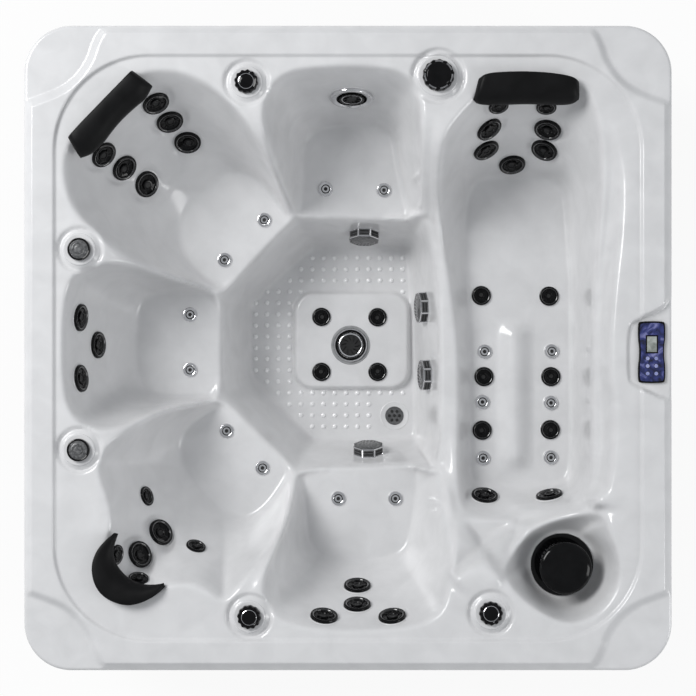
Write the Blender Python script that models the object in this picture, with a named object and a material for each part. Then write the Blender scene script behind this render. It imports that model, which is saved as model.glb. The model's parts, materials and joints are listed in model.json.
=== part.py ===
"""A square hot tub: a moulded shell with five seats and a lounger on a framed cabinet, with its jets,
valves, filter, pillows, controls and pump as separate pieces. +X is the side with the control panel,
+Z is up, and the origin is on the floor under the middle."""

import math

import bmesh
import bpy
import numpy as np
from mathutils import Matrix, Vector

# Driving dimensions, in metres
WIDTH = 2.200
LENGTH = 2.190
HEIGHT = 0.900
CORNER_RADIUS = 0.160
SHELL_WALL = 0.008
FIT = 0.0003
WELL_DEPTH = 0.200

# Heights of the seats, the lounger and the footwell's floor, as shares of the whole height
SEAT_SHARE = 0.478
LOUNGE_SHARE = 0.500
FLOOR_SHARE = 0.1333

# Rim
BAND_RISE = 0.012
BAND_EDGE = 0.012
LIP_WIDTH = 0.027
LIP_ROUND = 0.012
RIM_WIDTH = 0.111
LEDGE_RADIUS = 0.315
PAD_DROP = 0.008
PAD_EDGE = 0.016
NOTCH_DROP = 0.012
NOTCH_EDGE = 0.014
SKIRT_DROP = 0.100

# Footwell
PLATFORM_RISE = 0.030
PLATFORM_WIDTH = 0.434
PLATFORM_LENGTH = 0.364
PLATFORM_RADIUS = 0.070
PLATFORM_EDGE = 0.016
LOUNGE_RIDGE_RISE = 0.030
LOUNGE_RIDGE_WIDTH = 0.075

# How the surface between the outlines is worked out: the grid that it is sampled on, the rounding
# of its edges, how hollow the seats' walls are, and how fast an outline's pull fades with distance
RASTER_STEP = 0.010
BLUR_RADIUS = 0.012
NEAR_SHARE = 0.75
HOLLOW_SHARE = 0.55
STRAIGHT_SHARE = 0.10
PULL_POWER = 4
LEDGE_PARTS = 6
TINY = 1e-9
SHELL_LINES = 140
SHELL_FACES = 1500
WARP_POWER = 10

HALF_WIDTH = WIDTH / 2
HALF_LENGTH = LENGTH / 2
DECK = HEIGHT - BAND_RISE
SKIRT_BOTTOM = HEIGHT - SKIRT_DROP
SEAT_HEIGHT = HEIGHT * SEAT_SHARE
LOUNGE_HEIGHT = HEIGHT * LOUNGE_SHARE
FLOOR_HEIGHT = HEIGHT * FLOOR_SHARE
WELL_HEIGHT = HEIGHT - WELL_DEPTH

# Outlines of the pockets, as shares of the half width and half length. The third share of a rim
# point is its height, from the seat (0) to the deck (1).
BACK_LEFT_RIM_SHARES = (
    (-0.417, 0.178, 0), (-0.482, 0.208, 0.22), (-0.539, 0.227, 0.42), (-0.595, 0.249, 0.62),
    (-0.649, 0.271, 0.8), (-0.705, 0.296, 0.93), (-0.747, 0.323, 1), (-0.787, 0.369, 1),
    (-0.830, 0.409, 1), (-0.861, 0.462, 1), (-0.876, 0.533, 1), (-0.873, 0.604, 1),
    (-0.835, 0.664, 1), (-0.749, 0.735, 1), (-0.684, 0.812, 1), (-0.639, 0.850, 1),
    (-0.578, 0.860, 1), (-0.510, 0.854, 1), (-0.446, 0.826, 1), (-0.387, 0.783, 1),
    (-0.332, 0.727, 1), (-0.290, 0.659, 0.95), (-0.256, 0.589, 0.78), (-0.229, 0.535, 0.55),
    (-0.204, 0.486, 0.3), (-0.190, 0.460, 0.12), (-0.179, 0.434, 0),
)
BACK_LEFT_FLOOR_SHARES = (
    (-0.437, 0.211), (-0.495, 0.250), (-0.540, 0.305), (-0.563, 0.370), (-0.555, 0.435),
    (-0.520, 0.492), (-0.468, 0.545), (-0.415, 0.582), (-0.362, 0.590), (-0.310, 0.567),
    (-0.268, 0.533), (-0.228, 0.480), (-0.205, 0.440), (-0.126, 0.357), (-0.357, 0.158),
)
BACK_RIM_SHARES = (
    (-0.169, 0.434, 0), (-0.184, 0.470, 0.12), (-0.194, 0.496, 0.3), (-0.213, 0.545, 0.55),
    (-0.234, 0.598, 0.78), (-0.253, 0.659, 0.95), (-0.261, 0.718, 1), (-0.252, 0.780, 1),
    (-0.221, 0.832, 1), (-0.163, 0.860, 1), (-0.086, 0.869, 1), (0.006, 0.872, 1),
    (0.098, 0.869, 1), (0.166, 0.854, 1), (0.209, 0.820, 1), (0.224, 0.770, 1),
    (0.227, 0.702, 1), (0.229, 0.630, 0.9), (0.236, 0.561, 0.7), (0.242, 0.505, 0.5),
    (0.248, 0.462, 0.35), (0.257, 0.426, 0.25),
)
BACK_FLOOR_SHARES = (
    (-0.159, 0.374), (-0.159, 0.523), (-0.155, 0.656), (-0.139, 0.706), (-0.093, 0.733),
    (0.007, 0.746), (0.106, 0.736), (0.152, 0.709), (0.165, 0.623), (0.185, 0.523),
    (0.202, 0.440), (0.205, 0.374),
)
LEFT_RIM_SHARES = (
    (-0.423, 0.168, 0), (-0.488, 0.195, 0.22), (-0.546, 0.214, 0.42), (-0.601, 0.234, 0.62),
    (-0.655, 0.249, 0.8), (-0.711, 0.259, 0.93), (-0.768, 0.258, 1), (-0.824, 0.239, 1),
    (-0.858, 0.202, 1), (-0.873, 0.131, 1), (-0.879, 0.008, 1), (-0.873, -0.131, 1),
    (-0.858, -0.193, 1), (-0.824, -0.236, 1), (-0.768, -0.255, 1), (-0.711, -0.247, 0.93),
    (-0.655, -0.218, 0.8), (-0.601, -0.195, 0.62), (-0.546, -0.182, 0.42), (-0.488, -0.175, 0.22),
    (-0.423, -0.161, 0),
)
LEFT_FLOOR_SHARES = (
    (-0.364, 0.188), (-0.523, 0.188), (-0.622, 0.188), (-0.668, 0.174), (-0.695, 0.141),
    (-0.705, 0.008), (-0.695, -0.108), (-0.668, -0.145), (-0.622, -0.164), (-0.523, -0.164),
    (-0.364, -0.164),
)
FRONT_LEFT_RIM_SHARES = (
    (-0.417, -0.171, 0), (-0.482, -0.185, 0.22), (-0.539, -0.195, 0.42), (-0.595, -0.211, 0.62),
    (-0.649, -0.240, 0.8), (-0.703, -0.274, 0.95), (-0.744, -0.310, 1), (-0.768, -0.354, 1),
    (-0.762, -0.409, 1), (-0.738, -0.465, 1), (-0.725, -0.533, 1), (-0.738, -0.594, 1),
    (-0.756, -0.656, 1), (-0.747, -0.718, 1), (-0.707, -0.755, 1), (-0.645, -0.767, 1),
    (-0.590, -0.749, 1), (-0.559, -0.733, 1), (-0.516, -0.727, 1), (-0.470, -0.730, 1),
    (-0.424, -0.755, 1), (-0.381, -0.786, 1), (-0.344, -0.743, 1), (-0.302, -0.696, 0.95),
    (-0.268, -0.653, 0.82), (-0.240, -0.605, 0.62), (-0.216, -0.542, 0.38), (-0.199, -0.483, 0.2),
    (-0.179, -0.397, 0),
)
FRONT_LEFT_FLOOR_SHARES = (
    (-0.357, -0.158), (-0.465, -0.210), (-0.522, -0.248), (-0.552, -0.295), (-0.560, -0.345),
    (-0.540, -0.400), (-0.495, -0.460), (-0.440, -0.515), (-0.392, -0.555), (-0.345, -0.568),
    (-0.298, -0.545), (-0.258, -0.507), (-0.222, -0.454), (-0.198, -0.407), (-0.142, -0.357),
)
FRONT_RIM_SHARES = (
    (-0.169, -0.400, 0), (-0.173, -0.467, 0.2), (-0.183, -0.525, 0.38), (-0.206, -0.586, 0.62),
    (-0.231, -0.640, 0.82), (-0.253, -0.690, 0.95), (-0.264, -0.749, 1), (-0.252, -0.795, 1),
    (-0.221, -0.832, 1), (-0.172, -0.857, 1), (-0.086, -0.872, 1), (0.006, -0.875, 1),
    (0.114, -0.872, 1), (0.197, -0.863, 1), (0.252, -0.845, 1), (0.295, -0.811, 1),
    (0.312, -0.752, 0.95), (0.317, -0.695, 0.85), (0.323, -0.632, 0.72), (0.320, -0.565, 0.6),
    (0.314, -0.491, 0.45), (0.304, -0.430, 0.32), (0.292, -0.393, 0.25),
)
FRONT_FLOOR_SHARES = (
    (-0.162, -0.341), (-0.152, -0.474), (-0.146, -0.573), (-0.136, -0.640), (-0.106, -0.683),
    (-0.043, -0.706), (0.056, -0.713), (0.146, -0.700), (0.198, -0.666), (0.218, -0.590),
    (0.232, -0.490), (0.238, -0.341),
)
FOOTWELL_RIM_SHARES = (
    (-0.420, 0.145, 0), (-0.413, 0.178, 0), (-0.185, 0.427, 0), (-0.152, 0.434, 0),
    (0.230, 0.431, 0.1), (0.257, 0.417, 0.22), (0.270, 0.351, 0.25), (0.286, 0.253, 0.25),
    (0.296, 0.155, 0.25), (0.299, -0.106, 0.25), (0.299, -0.335, 0.25), (0.287, -0.384, 0.22),
    (0.253, -0.398, 0.1), (-0.152, -0.400, 0), (-0.182, -0.394, 0), (-0.413, -0.168, 0),
    (-0.420, -0.135, 0),
)
FOOTWELL_FLOOR_SHARES = (
    (-0.343, 0.134), (-0.333, 0.165), (-0.135, 0.346), (-0.107, 0.353), (0.194, 0.353),
    (0.218, 0.340), (0.225, 0.165), (0.236, -0.113), (0.243, -0.294), (0.222, -0.322),
    (-0.107, -0.322), (-0.135, -0.315), (-0.333, -0.106), (-0.343, -0.078),
)
LOUNGE_RIM_SHARES = (
    (0.381, 0.761, 1), (0.341, 0.718, 1), (0.307, 0.672, 1), (0.293, 0.621, 0.95),
    (0.289, 0.539, 0.7), (0.296, 0.441, 0.4), (0.308, 0.337, 0.3), (0.328, 0.230, 0.27),
    (0.344, 0.119, 0.25), (0.357, -0.002, 0.25), (0.361, -0.171, 0.25), (0.357, -0.363, 0.28),
    (0.358, -0.462, 0.35), (0.367, -0.531, 0.5), (0.421, -0.543, 0.5), (0.501, -0.543, 0.5),
    (0.579, -0.529, 0.55), (0.670, -0.510, 0.62), (0.729, -0.491, 0.7), (0.757, -0.448, 0.76),
    (0.763, -0.322, 0.78), (0.763, -0.165, 0.78), (0.763, 0.024, 0.78), (0.766, 0.149, 0.78),
    (0.774, 0.274, 0.8), (0.783, 0.398, 0.85), (0.790, 0.521, 0.9), (0.787, 0.612, 0.95),
    (0.775, 0.702, 1), (0.750, 0.780, 1), (0.722, 0.814, 1), (0.652, 0.826, 1),
    (0.559, 0.829, 1), (0.467, 0.826, 1), (0.412, 0.807, 1),
)
LOUNGE_FLOOR_SHARES = (
    (0.430, 0.562), (0.396, 0.525), (0.386, 0.439), (0.386, 0.343), (0.392, 0.234),
    (0.399, 0.121), (0.402, -0.002), (0.402, -0.174), (0.399, -0.369), (0.402, -0.426),
    (0.429, -0.452), (0.567, -0.459), (0.706, -0.452), (0.735, -0.426), (0.745, -0.369),
    (0.745, -0.174), (0.745, -0.002), (0.745, 0.121), (0.742, 0.234), (0.732, 0.343),
    (0.725, 0.439), (0.716, 0.525), (0.680, 0.562), (0.554, 0.570),
)
WELL_RIM_SHARES = (
    (0.805, -0.523, 1), (0.811, -0.585, 1), (0.830, -0.631, 1), (0.839, -0.687, 1),
    (0.824, -0.755, 1), (0.784, -0.811, 1), (0.728, -0.845, 1), (0.667, -0.851, 1),
    (0.615, -0.829, 1), (0.559, -0.792, 1), (0.513, -0.755, 1), (0.478, -0.711, 0.95),
    (0.499, -0.666, 0.8), (0.540, -0.613, 0.72), (0.594, -0.570, 0.7), (0.666, -0.538, 0.72),
    (0.755, -0.519, 0.8),
)
# Ridges and edges that no pocket follows
ARMREST_EDGE_SHARES = (
    (0.775, -0.471, 1), (0.818, -0.462, 1), (0.842, -0.384, 1), (0.854, -0.276, 1),
    (0.851, -0.153, 1), (0.839, -0.110, 1), (0.832, -0.057, 1), (0.833, 0.045, 1),
    (0.842, 0.128, 1), (0.854, 0.218, 1), (0.873, 0.332, 1), (0.882, 0.421, 1),
    (0.885, 0.523, 1), (0.873, 0.607, 1), (0.845, 0.690, 1), (0.805, 0.758, 1),
    (0.775, 0.786, 1),
)
STEP_EDGE_SHARES = (
    (0.369, -0.548, 0.55), (0.349, -0.592, 0.7), (0.330, -0.648, 0.85), (0.315, -0.699, 0.95),
    (0.338, -0.718, 1), (0.406, -0.718, 1), (0.467, -0.712, 1), (0.496, -0.682, 0.8),
    (0.516, -0.624, 0.7), (0.532, -0.581, 0.6), (0.521, -0.551, 0.55),
)
PAD_EDGE_SHARES = (
    (0.742, 1.100), (0.742, 1.000), (0.776, 0.950), (0.796, 0.880), (0.860, 0.803),
    (0.970, 0.760), (1.000, 0.755), (1.100, 0.755), (1.100, 1.100),
)
NOTCH_EDGE_SHARES = (
    (1.100, 0.180), (0.999, 0.162), (0.966, 0.122), (0.887, 0.088), (0.862, 0.063),
    (0.862, -0.094), (0.874, -0.112), (0.929, -0.137), (0.975, -0.159), (1.100, -0.180),
)
FILTER_SHARES = (0.679, -0.690)
PLATFORM_SHARES = (0.014, 0.026)
LOUNGE_RIDGE_SHARES = (0.551, 0.110, -0.420)
WELL_FLOOR_RADIUS = 0.122
WELL_SIDES = 20

# Fittings in the shell: radius of the face and of the body behind it, how far the face stands
# above its seat, how deep the seat lies below the surface, and the number of sides
FITTINGS = {
    "large": {"flange": 0.044, "body": 0.044, "thick": 0.010, "seat": 0.003, "sides": 8},
    "small": {"flange": 0.033, "body": 0.033, "thick": 0.008, "seat": 0.003, "sides": 8},
    "injector": {"flange": 0.025, "body": 0.025, "thick": 0.006, "seat": 0.002, "sides": 6},
    "wide": {"flange": 0.074, "body": 0.046, "thick": 0.012, "seat": 0.003, "sides": 12},
    "blaster": {"flange": 0.074, "body": 0.050, "thick": 0.014, "seat": 0.003, "sides": 12},
    "suction": {"flange": 0.062, "body": 0.034, "thick": 0.036, "seat": 0.003, "sides": 8},
    "drain": {"flange": 0.036, "body": 0.020, "thick": 0.006, "seat": 0.003, "sides": 10},
    "air": {"flange": 0.052, "body": 0.028, "thick": 0.006, "seat": 0.002, "sides": 10},
    "diverter": {"flange": 0.066, "body": 0.038, "thick": 0.006, "seat": 0.002, "sides": 12},
    "weir": {"flange": 0.112, "body": 0.096, "thick": 0.008, "seat": 0.002, "sides": 16},
}
BODY_LENGTH = 0.050
DRAIN_BODY_LENGTH = 0.040
PIPE_RADIUS = 0.013
PIPE_SIDES = 5
ELBOW_RADIUS = 0.020
ELBOW_SIDES = 6
FLAT_NORMAL = 0.9
MITRE_LIMIT = 0.5
BALL_RINGS = 4
SLOPE_REACH = 0.020
SEAT_GAP = 0.001
SEAT_FLAT = 1.10
SEAT_FADE = 1.75
CUT_REACH = 0.035
DISH_SHARE = 0.35
FACE_SHARE = 0.72
BEVEL_SHARE = 0.45
SHARP_ANGLE = math.radians(35)

WIDE_JET_SHARES = (0.012, 0.807)
# Jets of each group in the order that their pipe runs: kind, share of half width, of half length
JETS = {
    "back_left_seat_jets": (
        ("large", -0.520, 0.671), ("large", -0.570, 0.728), ("large", -0.606, 0.776),
        ("large", -0.771, 0.613), ("large", -0.717, 0.580), ("large", -0.655, 0.535),
        ("injector", -0.409, 0.293), ("injector", -0.277, 0.426),
    ),
    "back_seat_jets": (
        ("wide", *WIDE_JET_SHARES), ("injector", -0.074, 0.529), ("injector", 0.119, 0.525),
    ),
    "left_seat_jets": (
        ("large", -0.842, 0.096), ("large", -0.804, 0.010), ("large", -0.841, -0.096),
        ("injector", -0.523, -0.073), ("injector", -0.523, 0.111),
    ),
    "front_left_seat_jets": (
        ("small", -0.721, -0.646), ("small", -0.646, -0.477), ("large", -0.602, -0.595),
        ("large", -0.659, -0.656), ("small", -0.654, -0.724), ("small", -0.488, -0.640),
        ("injector", -0.402, -0.276), ("injector", -0.283, -0.399),
    ),
    "front_seat_jets": (
        ("large", -0.075, -0.843), ("large", 0.029, -0.818), ("large", 0.138, -0.843),
        ("large", 0.030, -0.773), ("injector", -0.032, -0.501), ("injector", 0.157, -0.501),
    ),
    "lounger_back_jets": (
        ("small", 0.472, 0.762), ("large", 0.447, 0.699), ("large", 0.444, 0.642),
        ("large", 0.537, 0.605), ("large", 0.635, 0.644), ("large", 0.637, 0.701),
        ("small", 0.623, 0.760),
    ),
    "lounger_leg_jets": (
        ("large", 0.446, -0.486), ("injector", 0.446, -0.365), ("small", 0.443, -0.273),
        ("injector", 0.444, -0.179), ("small", 0.449, -0.095), ("injector", 0.451, -0.012),
        ("small", 0.440, 0.174), ("small", 0.664, 0.172), ("injector", 0.673, -0.011),
        ("small", 0.670, -0.095), ("injector", 0.670, -0.182), ("small", 0.668, -0.271),
        ("injector", 0.670, -0.363), ("large", 0.653, -0.481),
    ),
    "footwell_jets": (
        ("small", -0.092, 0.108), ("small", 0.102, 0.107), ("small", 0.102, -0.083),
        ("small", -0.092, -0.083),
    ),
}
SUCTION_SHARES = {
    "suction_cover_back": (0.055, 0.391), "suction_cover_right_back": (0.261, 0.137),
    "suction_cover_right_front": (0.271, -0.091), "suction_cover_front": (0.069, -0.357),
}
AIR_VALVE_SHARES = (
    (-0.313, 0.823), (-0.827, 0.305), (-0.829, -0.315), (-0.304, -0.831), (0.440, -0.821),
)
DIVERTER_SHARES = (0.278, 0.842)
BLASTER_SHARES = (0.009, 0.010)
DRAIN_SHARES = (0.161, -0.236)
PANEL_FROM_EDGE = 0.0704
PANEL_SHARES = (1 - PANEL_FROM_EDGE / HALF_WIDTH, -0.013)

# Valves
KNOB_RADIUS = 0.041
KNOB_HEIGHT = 0.030
KNOB_FLUTES = 8
DIVERTER_KNOB_RADIUS = 0.054
DIVERTER_KNOB_HEIGHT = 0.034
DIVERTER_FLUTES = 9
FLUTE_DEPTH = 0.004
KNOB_TOP_SHARE = 0.80
SPINDLE_RADIUS = 0.007
SPINDLE_PLAY = 1.10
SPINDLE_REACH = 0.016
VALVE_BODY_LENGTH = 0.090

# Foot blaster and wide jet, whose nozzles turn on a pin
BLASTER_SOCKET_RADIUS = 0.054
BLASTER_NOZZLE_RADIUS = 0.048
WIDE_SOCKET_RADIUS = 0.053
WIDE_NOZZLE_RADIUS = 0.046
SOCKET_FLOOR = 0.004
NOZZLE_HEIGHT = 0.012
NOZZLE_PIN_RADIUS = 0.006
NOZZLE_PIN_REACH = 0.012
NOZZLE_SIDES = 12
PIN_SIDES = 6

# Filter
CANISTER_WALL = 0.003
CANISTER_DEPTH = 0.300
CARTRIDGE_RADIUS = 0.074
CARTRIDGE_HEIGHT = 0.250
CARTRIDGE_PLEATS = 14
PLEAT_DEPTH = 0.010
CAGE_RADIUS = 0.084
CAGE_WALL = 0.008
CAGE_HEIGHT = 0.110
CAGE_RING = 0.012
CAGE_RIBS = 8
RIB_WIDTH = 0.008
RIB_SINK = 0.002
LID_RADIUS = 0.090
LID_HEIGHT = 0.020
LID_SPIGOT_DEPTH = 0.010
LID_SPIGOT_GAP = 0.001
LID_EDGE_SHARE = 0.33

# Control panel
PANEL_LENGTH = 0.212
PANEL_WIDTH = 0.093
PANEL_WAIST = 0.085
PANEL_CORNER = 0.010
PANEL_HEIGHT = 0.014
PANEL_SEAT = 0.002
HOUSING_LENGTH = 0.150
HOUSING_WIDTH = 0.034
HOUSING_DEPTH = 0.026
HOUSING_SHIFT = -0.0275
WINDOW_LENGTH = 0.064
WINDOW_WIDTH = 0.044
WINDOW_SHIFT = 0.027
WINDOW_THICK = 0.002
BUTTON_RADIUS = 0.0080
BUTTON_RISE = 0.0014
BUTTON_TRAVEL = 0.0008
BUTTON_POCKET = 0.005
BUTTON_FIRST = -0.021
BUTTON_PITCH = 0.0257
BUTTON_SPREAD = 0.029
BUTTON_ROWS = 3
BUTTON_SIDES = 10
BUTTON_GAP = 0.0004

# Pillows
PILLOW_THICK = 0.042
PILLOW_STATIONS = 11
END_SHARE = 0.97
PILLOW_LIFT = 0.0005
PILLOW_CLEARANCE = 0.004
PEG_RADIUS = 0.007
PEG_REACH = 0.014
PEG_SINK = 0.010
PEG_EDGE = 0.013
PEG_STATION_SHARE = 0.5
# Across the cushion towards the seat, up, and how much of the droop over the ledge's edge it takes
PILLOW_SECTION_SHARES = (
    (-0.90, 0.00, 0), (-0.20, 0.00, 0), (0.35, 0.00, 0.35), (0.88, 0.00, 1.0),
    (1.00, 0.38, 1.0), (0.76, 0.80, 0.6), (0.20, 1.00, 0.15), (-0.40, 0.98, 0), (-0.86, 0.74, 0),
    (-1.00, 0.38, 0),
)
PILLOWS = {
    "back_left_pillow": {
        "line": ((-0.855, 0.618), (-0.745, 0.729), (-0.618, 0.839)),
        "width": 0.106, "droop": 0.030, "taper": 14.0,
    },
    "lounger_pillow": {
        "line": ((0.392, 0.790), (0.555, 0.812), (0.720, 0.790)),
        "width": 0.108, "droop": 0.030, "taper": 14.0,
    },
    "front_left_pillow": {
        "line": ((-0.722, -0.575), (-0.740, -0.733), (-0.566, -0.745)),
        "width": 0.104, "droop": 0.020, "taper": 2.1,
    },
}

# Cabinet
PANEL_INSET = 0.012
SIDING_THICK = 0.018
SIDING_BOARDS = 5
SIDING_GROOVE = 0.005
SIDING_TUCK = 0.040
PAN_THICK = 0.030
CORNER_PARTS = 4
COVER_GAP = 0.001
RAIL_SIZE = 0.040
RAIL_HEIGHT = 0.040
RAIL_CLEARANCE = 0.0015
POST_SINK = 0.006
POST_SEAT = 0.0015
POST_SHARES = ((0, 1), (1, 0), (0, -1), (-1, 0))

# Equipment under the lounger
PUMP_INSET = 0.300
PUMP_Y = 0.190
PUMP_AXIS = 0.145
MOTOR_RADIUS = 0.080
MOTOR_LENGTH = 0.280
MOTOR_FOOT = 0.110
MOTOR_FOOT_INSET = 0.040
SHAFT_RADIUS = 0.008
VOLUTE_RADIUS = 0.098
VOLUTE_LENGTH = 0.084
VOLUTE_WALL = 0.010
IMPELLER_RADIUS = 0.070
IMPELLER_THICK = 0.024
IMPELLER_GAP = 0.010
SUCTION_PORT_RADIUS = 0.026
PORT_WALL = 0.006
PORT_REACH = 0.030
DISCHARGE_RADIUS = 0.030
DISCHARGE_REACH = 0.030
PLUMBING_RADIUS = 0.024
PLUMBING_RISE = 0.040
PLUMBING_SIDES = 7
HEATER_Y = -0.150
HEATER_LENGTH = 0.340
HEATER_RADIUS = 0.036
HEATER_NECK = 0.030
BOX_INSET = 0.150
BOX_Y = -0.150
BOX_WIDTH = 0.090
BOX_LENGTH = 0.360
BOX_HEIGHT = 0.220
ROUND_SIDES = 12
BORE_SIDES = 8
PUMP_X = HALF_WIDTH - PUMP_INSET
BOX_X = HALF_WIDTH - BOX_INSET


def remove_everything():
    for thing in list(bpy.data.objects):
        bpy.data.objects.remove(thing, do_unlink=True)


# Curves and heights of the shell's surface


def placed(shares):
    """Outline points in metres; a third share becomes a height."""
    rows = []
    for u, v, *rest in shares:
        level = SEAT_HEIGHT + rest[0] * (DECK - SEAT_HEIGHT) if rest else 0.0
        rows.append((u * HALF_WIDTH, v * HALF_LENGTH, level))
    return np.array(rows)


def softened(points, closed=True):
    """One round of corner cutting."""
    following = np.roll(points, -1, axis=0)
    near = points * NEAR_SHARE + following * (1 - NEAR_SHARE)
    far = points * (1 - NEAR_SHARE) + following * NEAR_SHARE
    rows = np.stack([near, far], axis=1)
    if not closed:
        rows = rows[:-1]
        return np.concatenate([points[:1], rows.reshape(-1, 3), points[-1:]])
    return rows.reshape(-1, 3)


def nearest(points, curve, closed=True):
    """The distance from each point to the curve, and the curve's height where it is nearest."""
    best = np.full(len(points), np.inf)
    height = np.zeros(len(points))
    ends = np.roll(curve, -1, axis=0)
    count = len(curve) if closed else len(curve) - 1
    for start, end in zip(curve[:count], ends[:count]):
        along = end[:2] - start[:2]
        share = np.clip((points - start[:2]) @ along / (along @ along), 0, 1)
        gap = np.linalg.norm(points - start[:2] - share[:, None] * along, axis=1)
        closer = gap < best
        best[closer] = gap[closer]
        height[closer] = start[2] + share[closer] * (end[2] - start[2])
    return best, height


def inside(points, curve):
    odd = np.zeros(len(points), bool)
    for start, end in zip(curve, np.roll(curve, -1, axis=0)):
        if start[1] == end[1]:
            continue
        spans = (points[:, 1] < start[1]) != (points[:, 1] < end[1])
        share = (points[:, 1] - start[1]) / (end[1] - start[1])
        odd ^= spans & (points[:, 0] < start[0] + share * (end[0] - start[0]))
    return odd


def smooth_step(value):
    value = np.clip(value, 0, 1)
    return value * value * (3 - 2 * value)


def rounded_box(points, half_x, half_y, radius):
    """Signed distance to a rounded rectangle round the origin, negative inside."""
    reach = np.abs(points) - np.array([half_x - radius, half_y - radius])
    outer = np.linalg.norm(np.maximum(reach, 0), axis=1)
    return outer + np.minimum(reach.max(axis=1), 0) - radius


def well_floor():
    """Round floor of the filter's bowl."""
    centre = placed((FILTER_SHARES,))[0]
    turns = [2 * math.pi * k / WELL_SIDES for k in range(WELL_SIDES)]
    ring = [(math.cos(t) * WELL_FLOOR_RADIUS, math.sin(t) * WELL_FLOOR_RADIUS, 0) for t in turns]
    return centre * (1, 1, 0) + np.array(ring)


def pockets():
    """Each pocket's rim, floor outline, floor height and how hollow its wall is."""
    seat, hollow, straight = SEAT_HEIGHT, HOLLOW_SHARE, STRAIGHT_SHARE
    return (
        (placed(BACK_LEFT_RIM_SHARES), placed(BACK_LEFT_FLOOR_SHARES), seat, hollow),
        (placed(BACK_RIM_SHARES), placed(BACK_FLOOR_SHARES), seat, straight),
        (placed(LEFT_RIM_SHARES), placed(LEFT_FLOOR_SHARES), seat, hollow),
        (placed(FRONT_LEFT_RIM_SHARES), placed(FRONT_LEFT_FLOOR_SHARES), seat, hollow),
        (placed(FRONT_RIM_SHARES), placed(FRONT_FLOOR_SHARES), seat, straight),
        (placed(FOOTWELL_RIM_SHARES), placed(FOOTWELL_FLOOR_SHARES), FLOOR_HEIGHT, 0.0),
        (placed(LOUNGE_RIM_SHARES), placed(LOUNGE_FLOOR_SHARES), LOUNGE_HEIGHT, straight),
        (placed(WELL_RIM_SHARES), well_floor(), WELL_HEIGHT, straight),
    )


def ledge_outline():
    """The line where the flat ledge meets the raised bands, at deck height."""
    half_x, half_y = HALF_WIDTH - RIM_WIDTH, HALF_LENGTH - RIM_WIDTH
    rows = []
    for quarter in range(4):
        sign_x = (1, -1, -1, 1)[quarter]
        sign_y = (1, 1, -1, -1)[quarter]
        for part in range(LEDGE_PARTS + 1):
            turn = math.pi / 2 * (quarter + part / LEDGE_PARTS)
            rows.append((
                sign_x * (half_x - LEDGE_RADIUS) + LEDGE_RADIUS * math.cos(turn),
                sign_y * (half_y - LEDGE_RADIUS) + LEDGE_RADIUS * math.sin(turn),
                DECK,
            ))
    return np.array(rows)


def pocket_height(points, rim, floor, low, hollow):
    """Height of one pocket's wall and floor at each point, endless outside its rim."""
    gap, level = nearest(points, rim)
    wide, _ = nearest(points, floor)
    wide[inside(points, floor)] = 0
    climb = wide / (wide + gap + TINY)
    climb = (1 - hollow) * climb + hollow * climb * climb
    height = low + (level - low) * climb
    height[~inside(points, rim)] = np.inf
    return height


def ridge_height(points, curves):
    """Height between the pockets, drawn from the nearest outlines."""
    total = np.zeros(len(points))
    weights = np.zeros(len(points))
    for curve, closed in curves:
        gap, level = nearest(points, curve, closed)
        weight = 1 / (gap + RASTER_STEP / 2) ** PULL_POWER
        total += weight * level
        weights += weight
    return total / weights


def basin_raster():
    """Heights of the pockets and of the ridges between them, on a regular grid."""
    xs = np.arange(-HALF_WIDTH - RASTER_STEP, HALF_WIDTH + 2 * RASTER_STEP, RASTER_STEP)
    ys = np.arange(-HALF_LENGTH - RASTER_STEP, HALF_LENGTH + 2 * RASTER_STEP, RASTER_STEP)
    grid_x, grid_y = np.meshgrid(xs, ys, indexing="ij")
    points = np.stack([grid_x.ravel(), grid_y.ravel()], axis=1)
    deepest = np.full(len(points), np.inf)
    curves = [
        (placed(ARMREST_EDGE_SHARES), False), (placed(STEP_EDGE_SHARES), True), (ledge_outline(), True),
    ]
    for rim, floor, low, hollow in pockets():
        rim = softened(rim)
        curves.append((rim, True))
        deepest = np.minimum(deepest, pocket_height(points, rim, floor, low, hollow))
    heights = np.where(np.isfinite(deepest), deepest, ridge_height(points, curves))
    outside = rounded_box(points, HALF_WIDTH - RIM_WIDTH, HALF_LENGTH - RIM_WIDTH, LEDGE_RADIUS) > 0
    heights[outside] = DECK
    heights = flattened(points, blurred(heights.reshape(grid_x.shape)).ravel())
    return xs, ys, heights.reshape(grid_x.shape)


def flattened(points, heights):
    """The heights with a flat seat under each jet and cover, faded into the wall round it."""
    fittings = [jet for jets in JETS.values() for jet in jets]
    fittings += [("suction", *shares) for shares in SUCTION_SHARES.values()]
    for kind, u, v in fittings:
        radius = FITTINGS[kind]["flange"]
        from_middle = points - (u * HALF_WIDTH, v * HALF_LENGTH)
        near = np.linalg.norm(from_middle, axis=1) < radius
        rows = np.column_stack([np.ones(near.sum()), from_middle[near]])
        middle, *slope = np.linalg.lstsq(rows, heights[near], rcond=None)[0]
        rise = from_middle @ slope
        away = np.sqrt((from_middle ** 2).sum(axis=1) + rise ** 2) / radius
        share = smooth_step((SEAT_FADE - away) / (SEAT_FADE - SEAT_FLAT))
        heights = heights + share * (middle + rise - heights)
    return heights


def blurred(heights):
    """The raster with its edges rounded."""
    reach = int(3 * BLUR_RADIUS / RASTER_STEP)
    offsets = np.arange(-reach, reach + 1) * RASTER_STEP
    kernel = np.exp(-0.5 * (offsets / BLUR_RADIUS) ** 2)
    kernel /= kernel.sum()
    for axis in (0, 1):
        pad = [(reach, reach) if side == axis else (0, 0) for side in (0, 1)]
        wide = np.pad(heights, pad, mode="edge")
        size = heights.shape[axis]
        parts = [np.take(wide, range(k, k + size), axis=axis) * kernel[k] for k in range(len(kernel))]
        heights = sum(parts)
    return heights


RASTER_X, RASTER_Y, RASTER = basin_raster()


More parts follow.
